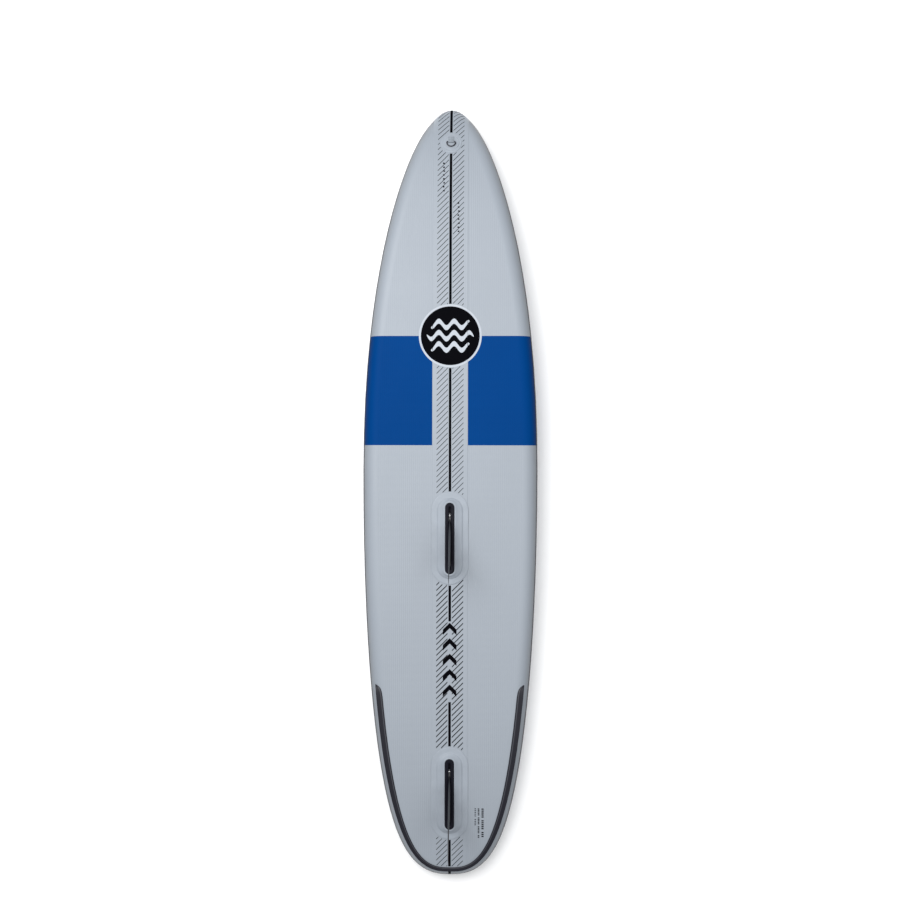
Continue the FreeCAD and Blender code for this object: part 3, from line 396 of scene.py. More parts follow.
def carve(piece, name, rings, sharp_angle=35.0):
    """Cut a solid given by rings out of a piece."""
    tool_mesh = shell_mesh(name, [(rings, False, True)], sharp_angle)
    tool = linked(name, tool_mesh)
    cut = piece.modifiers.new(name, "BOOLEAN")
    cut.operation, cut.object, cut.solver = "DIFFERENCE", tool, "EXACT"
    graph = bpy.context.evaluated_depsgraph_get()
    result = bpy.data.meshes.new_from_object(piece.evaluated_get(graph))
    piece.modifiers.clear()
    piece.data = result
    work = bmesh.new()
    work.from_mesh(result)
    mark_sharp(work, sharp_angle)
    work.to_mesh(result)
    work.free()
    bpy.data.objects.remove(tool)
    bpy.data.meshes.remove(tool_mesh)


# ---------------------------------------------------------------- materials


def new_material(name, slot, base, roughness, **inputs):
    """A Principled material and the node tree that goes with it."""
    material = bpy.data.materials.new(name)
    material.use_nodes = True
    tree = material.node_tree
    shader = tree.nodes["Principled BSDF"]
    shader.inputs["Base Color"].default_value = (*base, 1.0)
    shader.inputs["Roughness"].default_value = roughness
    for key, value in inputs.items():
        shader.inputs[key.replace("_", " ")].default_value = value
    return material, tree, shader


def math_node(tree, operation, first, second=None):
    """A Math node; its inputs are sockets or numbers."""
    node = tree.nodes.new("ShaderNodeMath")
    node.operation = operation
    for slot, value in enumerate((first, second)):
        if value is None:
            continue
        if isinstance(value, (int, float)):
            node.inputs[slot].default_value = value
        else:
            tree.links.new(value, node.inputs[slot])
    return node.outputs[0]


def object_axes(tree, stretch=(1.0, 1.0, 1.0)):
    """The object's own coordinates in metres, as a vector and as X, Y and Z."""
    coordinates = tree.nodes.new("ShaderNodeTexCoord")
    mapping = tree.nodes.new("ShaderNodeMapping")
    mapping.inputs["Scale"].default_value = stretch
    split = tree.nodes.new("ShaderNodeSeparateXYZ")
    tree.links.new(coordinates.outputs["Object"], mapping.inputs[0])
    tree.links.new(coordinates.outputs["Object"], split.inputs[0])
    return mapping.outputs[0], split.outputs


def plus(tree, first, second, share):
    """A value plus a share of another."""
    return math_node(tree, "ADD", first, math_node(tree, "MULTIPLY", second, share))


def feed(tree, shader, **values):
    """Link values to the shader's inputs of the same names."""
    for key, value in values.items():
        tree.links.new(value, shader.inputs[key.replace("_", " ")])


def noise(tree, vector, scale, detail):
    """A noise value from 0 to 1."""
    node = tree.nodes.new("ShaderNodeTexNoise")
    node.inputs["Scale"].default_value = scale
    node.inputs["Detail"].default_value = detail
    tree.links.new(vector, node.inputs["Vector"])
    return node.outputs[0]


def cells(tree, vector, scale):
    """Distance inside small irregular cells, from 0 to about 1."""
    node = tree.nodes.new("ShaderNodeTexVoronoi")
    node.inputs["Scale"].default_value = scale
    tree.links.new(vector, node.inputs["Vector"])
    return node.outputs["Distance"]


def spread(tree, value, low, high):
    """A 0 to 1 value mapped to another range."""
    node = tree.nodes.new("ShaderNodeMapRange")
    node.inputs["To Min"].default_value = low
    node.inputs["To Max"].default_value = high
    tree.links.new(value, node.inputs["Value"])
    return node.outputs[0]


def tint(tree, base, value):
    """A colour multiplied by a value."""
    node = tree.nodes.new("ShaderNodeMix")
    node.data_type = "RGBA"
    node.blend_type = "MULTIPLY"
    node.inputs[0].default_value = 1.0
    node.inputs[6].default_value = (*base, 1.0)
    tree.links.new(value, node.inputs[7])
    return node.outputs[2]


EDGE_START, EDGE_GAIN = 0.52, 14.0


def worn(tree, colour, wear_colour, amount):
    """Blend a lighter colour in along worn edges."""
    geometry = tree.nodes.new("ShaderNodeNewGeometry")
    edge = math_node(tree, "SUBTRACT", geometry.outputs["Pointiness"], EDGE_START)
    edge = math_node(tree, "MULTIPLY", edge, EDGE_GAIN * amount)
    node = tree.nodes.new("ShaderNodeMix")
    node.data_type = "RGBA"
    limit = math_node(tree, "MINIMUM", math_node(tree, "MAXIMUM", edge, 0.0), amount)
    tree.links.new(limit, node.inputs[0])
    tree.links.new(colour, node.inputs[6])
    node.inputs[7].default_value = (*wear_colour, 1.0)
    return node.outputs[2]


def bump(tree, shader, height, distance):
    """Bump the shader's normal by a height in units of a distance in metres."""
    node = tree.nodes.new("ShaderNodeBump")
    node.inputs["Distance"].default_value = distance
    tree.links.new(height, node.inputs["Height"])
    tree.links.new(node.outputs[0], shader.inputs["Normal"])


def crossed(tree, axes, across, along):
    """Staggered bumps from two crossed waves, from -1 to 1."""
    a = math_node(tree, "MULTIPLY", axes[0], 2 * pi / across)
    b = math_node(tree, "MULTIPLY", axes[1], 2 * pi / along)
    first = math_node(tree, "SINE", math_node(tree, "ADD", a, b))
    second = math_node(tree, "SINE", math_node(tree, "SUBTRACT", a, b))
    return math_node(tree, "MULTIPLY", first, second)


# how far a face looks up where the painted shade ends and starts, and the shade it falls to
SIDE_FACE, FLAT_FACE, SIDE_SHADE = 0.1, 0.98, 0.28


def painted_side_shade(tree, value):
    """Painted shade that darkens faces that look sideways, standing in for the rails turning away from the
    light.
    """
    coordinates = tree.nodes.new("ShaderNodeTexCoord")
    split = tree.nodes.new("ShaderNodeSeparateXYZ")
    tree.links.new(coordinates.outputs["Normal"], split.inputs[0])
    node = tree.nodes.new("ShaderNodeMapRange")
    node.interpolation_type = "SMOOTHSTEP"
    node.inputs["From Min"].default_value = SIDE_FACE
    node.inputs["From Max"].default_value = FLAT_FACE
    node.inputs["To Min"].default_value = SIDE_SHADE
    node.inputs["To Max"].default_value = 1.0
    tree.links.new(math_node(tree, "ABSOLUTE", split.outputs[2]), node.inputs["Value"])
    return math_node(tree, "MULTIPLY", value, node.outputs[0])


# spacing of the weave across and along the board and depth of its dimples, in metres
WEAVE_ACROSS, WEAVE_ALONG, WEAVE_DEPTH = 0.0165, 0.0098, 0.00022
# depth in metres of the grain of moulded parts, of drawn metal's streaks and of the foam's pits
GRAIN_DEPTH, STREAK_DEPTH, PIT_DEPTH = 0.00006, 0.00003, 0.00025


def coated_fabric(name, slot, base, dimple=1.0, roughness=0.42, variation=0.03, shine=0.35, shade_rail_sides=False):
    """PVC coated fabric: faint weave dimples, fine grain and slow colour drift."""
    material, tree, shader = new_material(name, slot, base, roughness, Specular_IOR_Level=shine)
    vector, axes = object_axes(tree)
    weave = crossed(tree, axes, WEAVE_ACROSS, WEAVE_ALONG)
    drift = noise(tree, vector, 3.0, 4.0)
    grain = noise(tree, vector, 900.0, 2.0)
    shade = plus(tree, spread(tree, drift, 1.0 - variation, 1.0 + variation), weave, 0.05 * dimple)
    # the rails get painted shade on faces that look sideways
    if shade_rail_sides:
        shade = painted_side_shade(tree, shade)
    rubbed = spread(tree, noise(tree, vector, 14.0, 5.0), roughness - 0.05, roughness + 0.07)
    feed(tree, shader, Base_Color=tint(tree, base, shade), Roughness=rubbed)
    bump(tree, shader, plus(tree, math_node(tree, "MULTIPLY", weave, dimple), grain, 0.2), WEAVE_DEPTH)
    return material


def moulded(name, slot, base, roughness, grain=700.0, wear=0.25, **inputs):
    """Moulded plastic or rubber: fine spark-eroded grain, drift and rubbed edges."""
    material, tree, shader = new_material(name, slot, base, roughness, **inputs)
    vector, _ = object_axes(tree)
    colour = tint(tree, base, spread(tree, noise(tree, vector, 18.0, 5.0), 0.88, 1.12))
    pale = [min(1.0, 1.6 * c + 0.05) for c in base]
    rubbed = spread(tree, noise(tree, vector, 60.0, 4.0), roughness - 0.07, roughness + 0.09)
    feed(tree, shader, Base_Color=worn(tree, colour, pale, wear), Roughness=rubbed)
    height = plus(tree, noise(tree, vector, grain, 3.0), cells(tree, vector, grain), 0.4)
    bump(tree, shader, height, GRAIN_DEPTH)
    return material


def metal(name, slot, base, roughness, stretch):
    """Turned or drawn metal: fine streaks and smudges."""
    material, tree, shader = new_material(name, slot, base, roughness, Metallic=1.0)
    vector, _ = object_axes(tree)
    streak_vector, _ = object_axes(tree, stretch)
    streaks = noise(tree, streak_vector, 1400.0, 4.0)
    smudge = noise(tree, vector, 90.0, 4.0)
    drawn = spread(tree, math_node(tree, "MULTIPLY", streaks, smudge), roughness - 0.08, roughness + 0.3)
    feed(tree, shader, Base_Color=tint(tree, base, spread(tree, smudge, 0.82, 1.1)), Roughness=drawn)
    bump(tree, shader, streaks, STREAK_DEPTH)
    return material


def woven(name, slot, base, pitch, depth, sheen=0.3):
    """Woven or knitted cloth: crossed yarns, fuzz, sheen and colour drift."""
    material, tree, shader = new_material(name, slot, base, 0.85, Sheen_Weight=sheen)
    vector, axes = object_axes(tree)
    yarns = crossed(tree, axes, pitch, 0.72 * pitch)
    fuzz = noise(tree, vector, 1600.0, 3.0)
    drift = spread(tree, noise(tree, vector, 30.0, 4.0), 0.84, 1.16)
    shade = plus(tree, drift, yarns, 0.22)
    feed(tree, shader, Base_Color=tint(tree, base, shade), Roughness=spread(tree, fuzz, 0.75, 0.95))
    bump(tree, shader, plus(tree, yarns, fuzz, 0.5), depth)
    return material


def foam(name, slot, base):
    """Closed-cell deck foam with a brushed, pitted face."""
    material, tree, shader = new_material(name, slot, base, 0.88, Sheen_Weight=0.15)
    vector, _ = object_axes(tree)
    pits = cells(tree, vector, 520.0)
    shade = plus(tree, spread(tree, noise(tree, vector, 6.0, 6.0), 0.85, 1.12), pits, 0.18)
    rubbed = spread(tree, noise(tree, vector, 40.0, 4.0), 0.8, 0.97)
    feed(tree, shader, Base_Color=tint(tree, base, shade), Roughness=rubbed)
    bump(tree, shader, math_node(tree, "ADD", pits, noise(tree, vector, 1100.0, 3.0)), PIT_DEPTH)
    return material


HULL_GREY = (0.250, 0.277, 0.312)
FIELD_BLUE = (0.0, 0.036, 0.160)
hull_material = coated_fabric("hull_pvc", "hull_pvc", HULL_GREY)
# the rail skins carry painted shade where their faces look sideways
rail_material = coated_fabric("rail_pvc", "hull_pvc", HULL_GREY, dimple=0.25, shade_rail_sides=True)
strip_material = coated_fabric("strip_pvc", "hull_pvc", HULL_GREY, dimple=0.35)
blue_material = coated_fabric("blue_panel", "hull_pvc", FIELD_BLUE, variation=0.08, shine=0.02)
blue_rail_material = coated_fabric("blue_rail", "hull_pvc", FIELD_BLUE, dimple=0.25, shine=0.02, shade_rail_sides=True)
charcoal_material = coated_fabric("charcoal_pvc", "charcoal_pvc", (0.026, 0.026, 0.034), 0.2, 0.45,
                                  shine=0.2)
release_material = coated_fabric("release_pvc", "release_pvc", (0.009, 0.009, 0.014), 0.15, 0.40,
                                 shine=0.18)
# paler colour painted on the release edge's inner lip as a highlight of its bead
release_highlight_material = coated_fabric("release_painted_highlight", "release_pvc", (0.036, 0.037, 0.046), 0.15, 0.38, shine=0.3)
ink_material = coated_fabric("black_ink", "hull_pvc", (0.001, 0.001, 0.002), 0.4, 0.6, shine=0.02)
pale_ink_material = coated_fabric("pale_ink", "hull_pvc", (0.36, 0.39, 0.43), 0.4, 0.5)
patch_material = moulded("moulded_pvc", "moulded_pvc", (0.255, 0.283, 0.320), 0.45, wear=0.1,
                         Specular_IOR_Level=0.35)
nylon_material = moulded("black_nylon", "black_nylon", (0.004, 0.004, 0.008), 0.45, wear=0.03,
                         Specular_IOR_Level=0.09)
fin_material = moulded("fin_black", "fin_black", (0.010, 0.010, 0.013), 0.36, grain=420.0, wear=0.1,
                       Specular_IOR_Level=0.35)
brass_material = metal("brass_pin", "brass_pin", (0.62, 0.46, 0.2), 0.28, (0.1, 1.0, 1.0))
steel_material = metal("steel", "steel", (0.56, 0.56, 0.57), 0.25, (1.0, 1.0, 0.15))
ring_material = metal("ring_steel", "steel", (0.06, 0.06, 0.07), 0.38, (0.3, 1.0, 1.0))
webbing_grey_material = woven("webbing_grey", "webbing_grey", (0.25, 0.28, 0.315), 0.0018, 0.00025,
                              sheen=0.0)
webbing_black_material = woven("webbing_black", "webbing_black", (0.012, 0.012, 0.015), 0.0020, 0.0003,
                               sheen=0.05)
thread_material = woven("thread", "webbing_black", (0.06, 0.06, 0.07), 0.0007, 0.0001)
grey_thread_material = woven("grey_thread", "webbing_grey", (0.2, 0.22, 0.25), 0.0007, 0.0001,
                             sheen=0.0)
neoprene_material = woven("neoprene", "neoprene", (0.017, 0.017, 0.021), 0.0013, 0.00015, sheen=0.1)
core_material = woven("core_fabric", "core_fabric", (0.8, 0.8, 0.77), 0.003, 0.0003, sheen=0.1)
foam_material = foam("eva_foam", "eva_foam", (0.10, 0.11, 0.13))
valve_material = moulded("valve_plastic", "valve_plastic", (0.25, 0.27, 0.29), 0.42)
rubber_material = moulded("seal_rubber", "seal_rubber", (0.015, 0.015, 0.015), 0.7, grain=900.0)


# ---------------------------------------------------------------- hull

def split_blue(piece):
    """Cut a hull piece where the blue field starts and ends, and colour the field."""
    work = bmesh.new()
    work.from_mesh(piece.data)
    along = (BOARD.to_3x3() @ Vector((0, 1, 0))).normalized()
    limits = [to_world((0, y, 0)) for y in (BLUE_START, BLUE_END)]
    for limit in limits:
        bmesh.ops.bisect_plane(work, geom=work.verts[:] + work.edges[:] + work.faces[:],
                               plane_co=limit, plane_no=along, dist=1e-7)
    low, high = [along.dot(limit) for limit in limits]
    for face in work.faces:
        face.material_index = 1 if low < along.dot(face.calc_center_median()) < high else 0
    work.to_mesh(piece.data)
    work.free()


def panel_rings(top, bottom, columns=28):
    """Sections across the flat panel from the tail to the nose."""
    rings = []
    for half, angle in OUTLINE:
        station, half_width = outline_point(half, angle)
        xs = [half_width * (2 * i / columns - 1) for i in range(columns + 1)]
        ring = [surface(station, top, x) for x in xs]
        ring += [surface(station, bottom, x) for x in reversed(xs)]
        rings.append(ring)
    return rings


def rail_rings(outer, inner, start, end, side, steps):
    """Sections of a thin shell round one rail from the tail to the nose."""
    rings = []
    for half, outline_angle in OUTLINE:
        place = rail_frame(half, outline_angle, side)
        angles = [start + (end - start) * i / steps for i in range(steps + 1)]
        ring = [rail_point(place, outer, angle) for angle in angles]
        ring += [rail_point(place, inner, angle) for angle in reversed(angles)]
        rings.append(ring)
    return rings


SKIN, RAIL_WALL = 1.2, 1.0
BAND_TOP = RAIL + 1.0
bottom = loft("hull_bottom", panel_rings(RAIL, RAIL - SKIN), "hull", [hull_material, blue_material])
split_blue(bottom)
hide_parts("bottom_skin")
deck = loft("hull_deck", panel_rings(-RAIL + SKIN, -RAIL), "hull", [rail_material])
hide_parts("deck_skin")
for label, side in (("left", -1.0), ("right", 1.0)):
    rail = loft("hull_rail_" + label, rail_rings(RAIL, RAIL - RAIL_WALL, 0, 180, side, 48), "hull",
                [rail_material, blue_rail_material])
    split_blue(rail)
    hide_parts("rail_wall_" + label)
    band = loft("rail_band_skin_" + label, rail_rings(BAND_TOP, RAIL + 0.05, 70, 125, side, 18),
                "hull", [charcoal_material])
    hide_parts("rail_band_" + label)


# ---------------------------------------------------------------- centre strip and prints

# how far outside the flat panel the strip and the prints reach over the rail
NOSE_LIMIT, TAIL_LIMIT = 58.0, 10.0


def reach_along(x, half):
    """Station where a lengthwise line at x leaves the part of the hull that carries prints."""
    limit = NOSE_LIMIT if half == "nose" else TAIL_LIMIT
    near, far = (2600.0, LENGTH) if half == "nose" else (900.0, 0.0)
    for _ in range(30):
        middle = 0.5 * (near + far)
        if panel_gap(x, middle)[0] < limit:
            near = middle
        else:
            far = middle
    return near


def strip_lift(x):
    """Height of the strip's face above the hull, falling to the hull outside its edges."""
    return (STRIP_TOP - RAIL) * soft_step((STRIP_HALF + 0.6 - abs(x)) / 2.4)


# stations where the strip's evenly spaced rows start and end, and their pitch
ROWS_START, ROWS_END, ROW_PITCH = 300.0, 3050.0, 25.0
TAIL_ROWS, NOSE_ROWS = 8, 26
STRIP_FOOT = 0.04


def centre_strip():
    """Reinforcing strip down the bottom, carried over the nose rail."""
    edge = (0.0, 0.5, 1.1, 1.8, 3.0)
    inner = STRIP_HALF - edge[-1]
    xs = [-STRIP_HALF + e for e in edge] + [inner * (i / 8 - 1) for i in range(1, 16)]
    xs += [STRIP_HALF - e for e in reversed(edge)]
    tails = [reach_along(x, "tail") for x in xs]
    noses = [reach_along(x, "nose") for x in xs]
    rows = [[tail + (ROWS_START - tail) * (i / TAIL_ROWS) for tail in tails] for i in range(TAIL_ROWS)]
    rows += [[ROWS_START + i * ROW_PITCH] * len(xs)
             for i in range(int((ROWS_END - ROWS_START) / ROW_PITCH) + 1)]
    rows += [[ROWS_END + (nose - ROWS_END) * i / NOSE_ROWS for nose in noses]
             for i in range(1, NOSE_ROWS + 1)]
    rings = []
    for row in rows:
        ring = [drape(x, s, max(0.1, strip_lift(x))) for x, s in zip(xs, row)]
        ring += [drape(x, s, STRIP_FOOT) for x, s in reversed(list(zip(xs, row)))]
        rings.append(ring)
    strip = loft("centre_strip", rings, "hull", [strip_material])
    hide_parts("stringer_band")


def above(lift):
    """The height of a printed face that lies a little above the strip or the hull."""
    return lambda x: strip_lift(x) + lift


# heights of the prints: their underside, then the faces of the hatch, small marks, centre line and emblem
PRINT_FOOT = 0.03
print_base, print_top = above(PRINT_FOOT), above(0.3)
SMALL_TOP, LINE_TOP, RIM_TOP = 0.36, 0.42, 0.32
WAVE_FOOT, WAVE_TOP = 0.31, 0.5


def lengthwise(x, half_width, start, end, pitch=12.0):
    """A strip that runs along the board between two stations."""
    count = max(1, int(abs(end - start) / pitch))
    stations = [start + (end - start) * i / count for i in range(count + 1)]
    return [((x - half_width, s), (x + half_width, s)) for s in stations]


PATCH_HALF_LENGTH, PATCH_HALF_WIDTH = 197.0, 78.5
EMBLEM_DISC, EMBLEM_RIM = 125.0, 134.0
DISC_RADIUS = 45.0


def clear_for_hatch(x, station):
    """Whether the hatch is printed at a plan point."""
    if hypot(x, station - TOW_STATION) < DISC_RADIUS + 3:
        return False
    if hypot(x, station - EMBLEM_STATION) < EMBLEM_RIM + 2:
        return False
    for box in (MID_BOX, REAR_BOX):
        end = max(0.0, abs(station - box) - (PATCH_HALF_LENGTH - PATCH_HALF_WIDTH))
        if hypot(x, end) < PATCH_HALF_WIDTH + 3:
            return False
    distance, half, _ = panel_gap(x, station)
    return distance < (NOSE_LIMIT if half == "nose" else TAIL_LIMIT) - 1


HATCH_PITCH, HATCH_INNER, HATCH_OUTER = 23.0, 9.5, 57.0
THIN_STROKE, BOLD_STROKE = 2.4, 3.7
HATCH_STEPS = 24
NOSE_CURVE = 3040.0


def hatch():
    """Slanted lines on both sides of the centre line, bolder between the fins."""
    thin, bold = [], []
    for index in range(-3, int(LENGTH / HATCH_PITCH) + 3):
        centre = index * HATCH_PITCH
        between = REAR_BOX < centre < MID_BOX
        half = (BOLD_STROKE if between else THIN_STROKE) / sqrt(2)
        for first, last in ((-HATCH_OUTER, -HATCH_INNER), (HATCH_INNER, HATCH_OUTER)):
            xs = [first + (last - first) * i / HATCH_STEPS for i in range(HATCH_STEPS + 1)]
            run = []
            for x in xs + [None]:
                if x is not None and 0 < centre + x < LENGTH and clear_for_hatch(x, centre + x):
                    run.append(x)
                    continue
                if len(run) > 2:
                    stride = 1 if centre > NOSE_CURVE else 4
                    kept = run[:-1:stride] + run[-1:]
                    pairs = [((x, centre + x - half), (x, centre + x + half)) for x in kept]
                    (bold if between else thin).append(pairs)
                run = []
    ribbon("hatch_thin", thin, ink_material, print_base, print_top)
    ribbon("hatch_bold", bold, ink_material, print_base, print_top)


LINE_HALF = 5.4
LINE_RUNS = ((3100.0, 2448.0), (2174.5, 1652.0), (1252.0, 1100.0), (757.0, 570.0), (170.0, 55.0))
CHEVRON_START, CHEVRON_PITCH, CHEVRON_HALF, CHEVRON_STROKE = 1094.0, 65.5, 29.0, 23.0


def centre_print():
    """Black centre line, its chevrons and the small tail mark."""
    nose_end = reach_along(0.0, "nose")
    strips = [lengthwise(0.0, LINE_HALF, 3197.0, nose_end, 4.0)]
    strips += [lengthwise(0.0, LINE_HALF, start, end) for start, end in LINE_RUNS]
    for index in range(5):
        tip = CHEVRON_START - index * CHEVRON_PITCH
        xs = [CHEVRON_HALF * (i / 3 - 1) for i in range(7)]
        strips.append([((x, tip - abs(x)), (x, tip - abs(x) - CHEVRON_STROKE)) for x in xs])
    ribbon("centre_print", strips, ink_material, print_base, above(LINE_TOP))
    tail_line = lengthwise(0.0, LINE_HALF, 27.0, 2.0, 1.5)
    ribbon("tail_mark", [tail_line], ink_material, lambda x: PRINT_FOOT, lambda x: 0.35)


SMALL_START = 306.0
# side position, half width, dash length and pitch, and the station where the column ends
SMALL_COLUMNS = ((110.0, 3.0, 3.4, 7.6, 225.0), (124.0, 3.4, 4.0, 6.4, 172.0), (141.0, 4.6, 5.2, 8.4, 172.0))

# side position and first station of the two rows of dashes near the nose
NOSE_MARKS, NOSE_MARK_PITCH = ((-30.0, 3061.0), (34.0, 2884.0)), 17.5


def small_marks():
    """Plain dashes that stand for the small print."""
    strips = []
    for x, half, length, pitch, end in SMALL_COLUMNS:
        for index in range(int((SMALL_START - end) / pitch)):
            if index % 6 == 5:
                continue
            station = SMALL_START - index * pitch
            strips.append(lengthwise(x, half, station, station - length, 6.0))
    for x, start in NOSE_MARKS:
        for index in range(8):
            station = start - index * NOSE_MARK_PITCH
            shift = 1.2 * (index % 3 - 1)
            strips.append(lengthwise(x + shift, 3.6, station, station - 6.0, 6.0))
    ribbon("small_marks", strips, ink_material, print_base, above(SMALL_TOP))


# middle and half length of each wave line in the emblem, then the waves' swing, length and half stroke
WAVES = ((48.0, 82.0), (0.0, 100.0), (-48.0, 82.0))
WAVE_SWING, WAVE_LENGTH, WAVE_HALF = 14.0, 65.0, 11.0


def emblem():
    """Dark disc with a pale rim and three plain wave lines, draped over the strip's edges."""
    xs = {round(EMBLEM_DISC * sin(a), 3) for a in turns(-90, 91, 5)}
    xs |= {s * (STRIP_HALF + e) for s in (-1, 1) for e in (-1.8, -1.2, -0.6, 0.0, 0.6)}
    rows = 24
    rings = []
    for x in sorted(xs):
        chord = sqrt(max(0.0, EMBLEM_DISC ** 2 - x ** 2))
        stations = [EMBLEM_STATION + chord * (2 * i / rows - 1) for i in range(rows + 1)]
        ring = [drape(x, s, print_top(x)) for s in stations]
        ring += [drape(x, s, print_base(x)) for s in reversed(stations)]
        rings.append(ring)
    loft("emblem_disc", rings, "hull", [ink_material], caps=False, sharp_angle=60.0)

    rings = []
    inner = EMBLEM_DISC + 0.5
    section = ((inner, PRINT_FOOT), (inner, RIM_TOP), (EMBLEM_RIM, RIM_TOP), (EMBLEM_RIM, PRINT_FOOT))
    for turn in circle(288):
        ring = []
        for r, lift in section:
            x = r * cos(turn)
            ring.append(drape(x, EMBLEM_STATION + r * sin(turn), strip_lift(x) + lift))
        rings.append(ring)
    loft("emblem_rim", rings, "hull", [pale_ink_material], loop=True, sharp_angle=60.0)

    strips = []
    for middle, reach in WAVES:
        pairs = []
        for i in range(57):
            x = reach * (i / 28 - 1)
            wave = EMBLEM_STATION + middle + WAVE_SWING * sin(2 * pi * x / WAVE_LENGTH)
            half = WAVE_HALF * sqrt(max(0.03, 1 - (abs(x) / reach) ** 6))
            pairs.append(((x, wave - half), (x, wave + half)))
        strips.append(pairs)
    ribbon("emblem_waves", strips, pale_ink_material, above(WAVE_FOOT), above(WAVE_TOP))


centre_strip()
hatch()
centre_print()
small_marks()
emblem()


# ---------------------------------------------------------------- tail release edge

# outline angles where the edge starts and where it starts to narrow toward the tail end
RELEASE_START, RELEASE_NARROW = 32.0, 40.0
# distance of its inner and outer sides from the rail's centre, and of the outer side at the tail end
RELEASE_TOE, RELEASE_HEEL, RELEASE_TAIL_HEEL = 14.0, 41.5, 32.0
RELEASE_SEAT, RELEASE_CREST = RAIL + 0.6, RAIL + 1.4
RELEASE_RIM = 0.35


def release_section(angle, fade):
    """Outline of the edge: distance outward and height above the rail centre."""
    ease = soft_step((angle - RELEASE_NARROW) / (90.0 - RELEASE_NARROW))
    heel = RELEASE_HEEL + (RELEASE_TAIL_HEEL - RELEASE_HEEL) * ease
    toe = heel - (heel - RELEASE_TOE) * fade
    seat = [toe + (heel - toe) * i / 6 for i in range(7)]
    outline = [(d, sqrt(RELEASE_SEAT ** 2 - d ** 2)) for d in seat]
    heel_height = outline[-1][1]
    crest = heel_height + (RELEASE_CREST - heel_height) * fade
    wall = crest - heel_height
    outline += [(heel, heel_height + 0.3 * wall), (heel, heel_height + 0.85 * wall),
                (heel - 0.5 * fade, heel_height + 0.96 * wall), (heel - 1.6 * fade, crest)]
    for part, sink in ((0.75, 0.15), (0.5, 0.35), (0.32, 0.35), (0.27, 0.0), (0.21, 0.15), (0.17, 0.75),
                       (0.08, 0.95)):
        d = toe + (heel - toe) * part
        low = sqrt(RELEASE_SEAT ** 2 - d ** 2)
        face = crest - 1.3 * (1 - part) * fade
        outline.append((d, max(low + RELEASE_RIM * fade, face - sink * fade)))
    outline.append((toe, outline[0][1] + RELEASE_RIM * fade))
    return outline


# faces of each section that carry the paler lip, a painted highlight along the bead
HIGHLIGHT_FACES = (13, 14, 15)


def release_edge():
    """Raised edge round the tail with a sharp corner, pointed at its front ends."""
    fades = ((0.0, 0.06), (0.12, 0.3), (0.35, 0.55), (0.75, 0.8), (1.3, 0.93), (2.2, 1.0))
    path = [(RELEASE_START + step, fade) for step, fade in fades]
    path += [(angle, 1.0) for half, angle in reversed(OUTLINE)
             if half == "tail" and angle > path[-1][0] + 0.5]
    places = [(angle, fade, -1.0) for angle, fade in path]
    places += [(angle, fade, 1.0) for angle, fade in reversed(path[:-1])]
    rings = []
    for angle, fade, side in places:
        centre, outward, normal = rail_frame("tail", angle, side)
        rings.append([centre + outward * d + normal * h for d, h in release_section(angle, fade)])
    edge = loft("release_edge", rings, "hull", [release_material, release_highlight_material], sharp_angle=40.0)
    for index, face in enumerate(edge.data.polygons):
        if index % len(rings[0]) in HIGHLIGHT_FACES:
            face.material_index = 1
    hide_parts("tail_release_edge")


release_edge()


# ---------------------------------------------------------------- fin patches and boxes

# half length, half width and height of each loop from the patch's outer edge to the box
PATCH_LOOPS = ((197.0, 78.5, 0.15), (197.0, 78.5, 1.0), (196.6, 78.1, 1.7), (195.6, 77.1, 2.15),
               (192.0, 73.5, 2.2), (176.0, 58.5, 2.2), (173.4, 56.2, 2.4), (171.6, 54.4, 3.2),
               (170.4, 53.0, 4.6), (169.4, 51.6, 5.8), (168.0, 49.8, 6.6), (166.4, 46.4, 7.4),
               (164.0, 41.0, 9.2), (161.2, 34.0, 12.0), (159.0, 28.8, 14.4), (157.6, 26.0, 15.9),
               (156.6, 24.6, 16.7), (155.4, 23.4, 17.0), (153.6, 21.8, 17.0), (152.2, 20.4, 16.6),
               (151.2, 19.6, 15.6), (150.8, 19.3, 14.0), (150.7, 19.2, 0.3))
BOX_LOOPS = ((150.5, 19.0, 0.2), (150.5, 19.0, 18.4), (150.2, 18.7, 19.3), (149.4, 17.9, 19.9),
             (148.4, 16.9, 20.0), (137.6, 7.4, 20.0), (136.4, 6.4, 19.7), (135.0, 5.2, 18.9),
             (133.8, 4.4, 18.2), (133.0, 4.1, 17.4), (133.0, 4.1, 13.6), (138.0, 7.2, 13.6),
             (138.0, 7.2, 10.0), (133.0, 4.1, 10.0), (133.0, 4.1, 3.0))
PATCH_TOP = 17.0


def fin_patch(label, station):
    """Moulded patch whose flange follows the hull and whose ramp rises to the box."""
    straight = local_frame(station, PATCH_BASE)
    rings = []
    for half_length, half_width, height in PATCH_LOOPS:
        level = min(1.0, height / PATCH_TOP)
        ring = []
        for x, y, z in stadium_loop(half_length, half_width, height, 20):
            bent = surface(station + y, PATCH_BASE + z, x)
            flat = straight @ Vector((x, y, z))
            ring.append(bent.lerp(flat, level))
        rings.append(ring)
    patch = loft(label + "_patch_moulding", rings + [rings[0]], "hull", [patch_material], caps=False,
                 sharp_angle=50.0)
    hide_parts(label + "_fin_patch")


def fin_box(label, station):
    """Long slot box with bevelled sides and a T-groove."""
    place = local_frame(station, PATCH_BASE)
    rings = [moved(place, stadium_loop(*loop)) for loop in BOX_LOOPS]
    box = loft(label + "_box_moulding", rings, "hull", [nylon_material], sharp_angle=50.0)
    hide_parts(label + "_fin_box")


# ---------------------------------------------------------------- fins and screws

# share of the height, sweep, chord and thickness of the blade, as shares of their largest
BLADE_STATIONS = ((0.0, 0.0, 1.0, 1.0), (0.25, 0.16, 0.88, 0.92), (0.5, 0.35, 0.72, 0.78),
                  (0.75, 0.575, 0.52, 0.58), (0.92, 0.785, 0.31, 0.4), (1.0, 0.917, 0.13, 0.26))
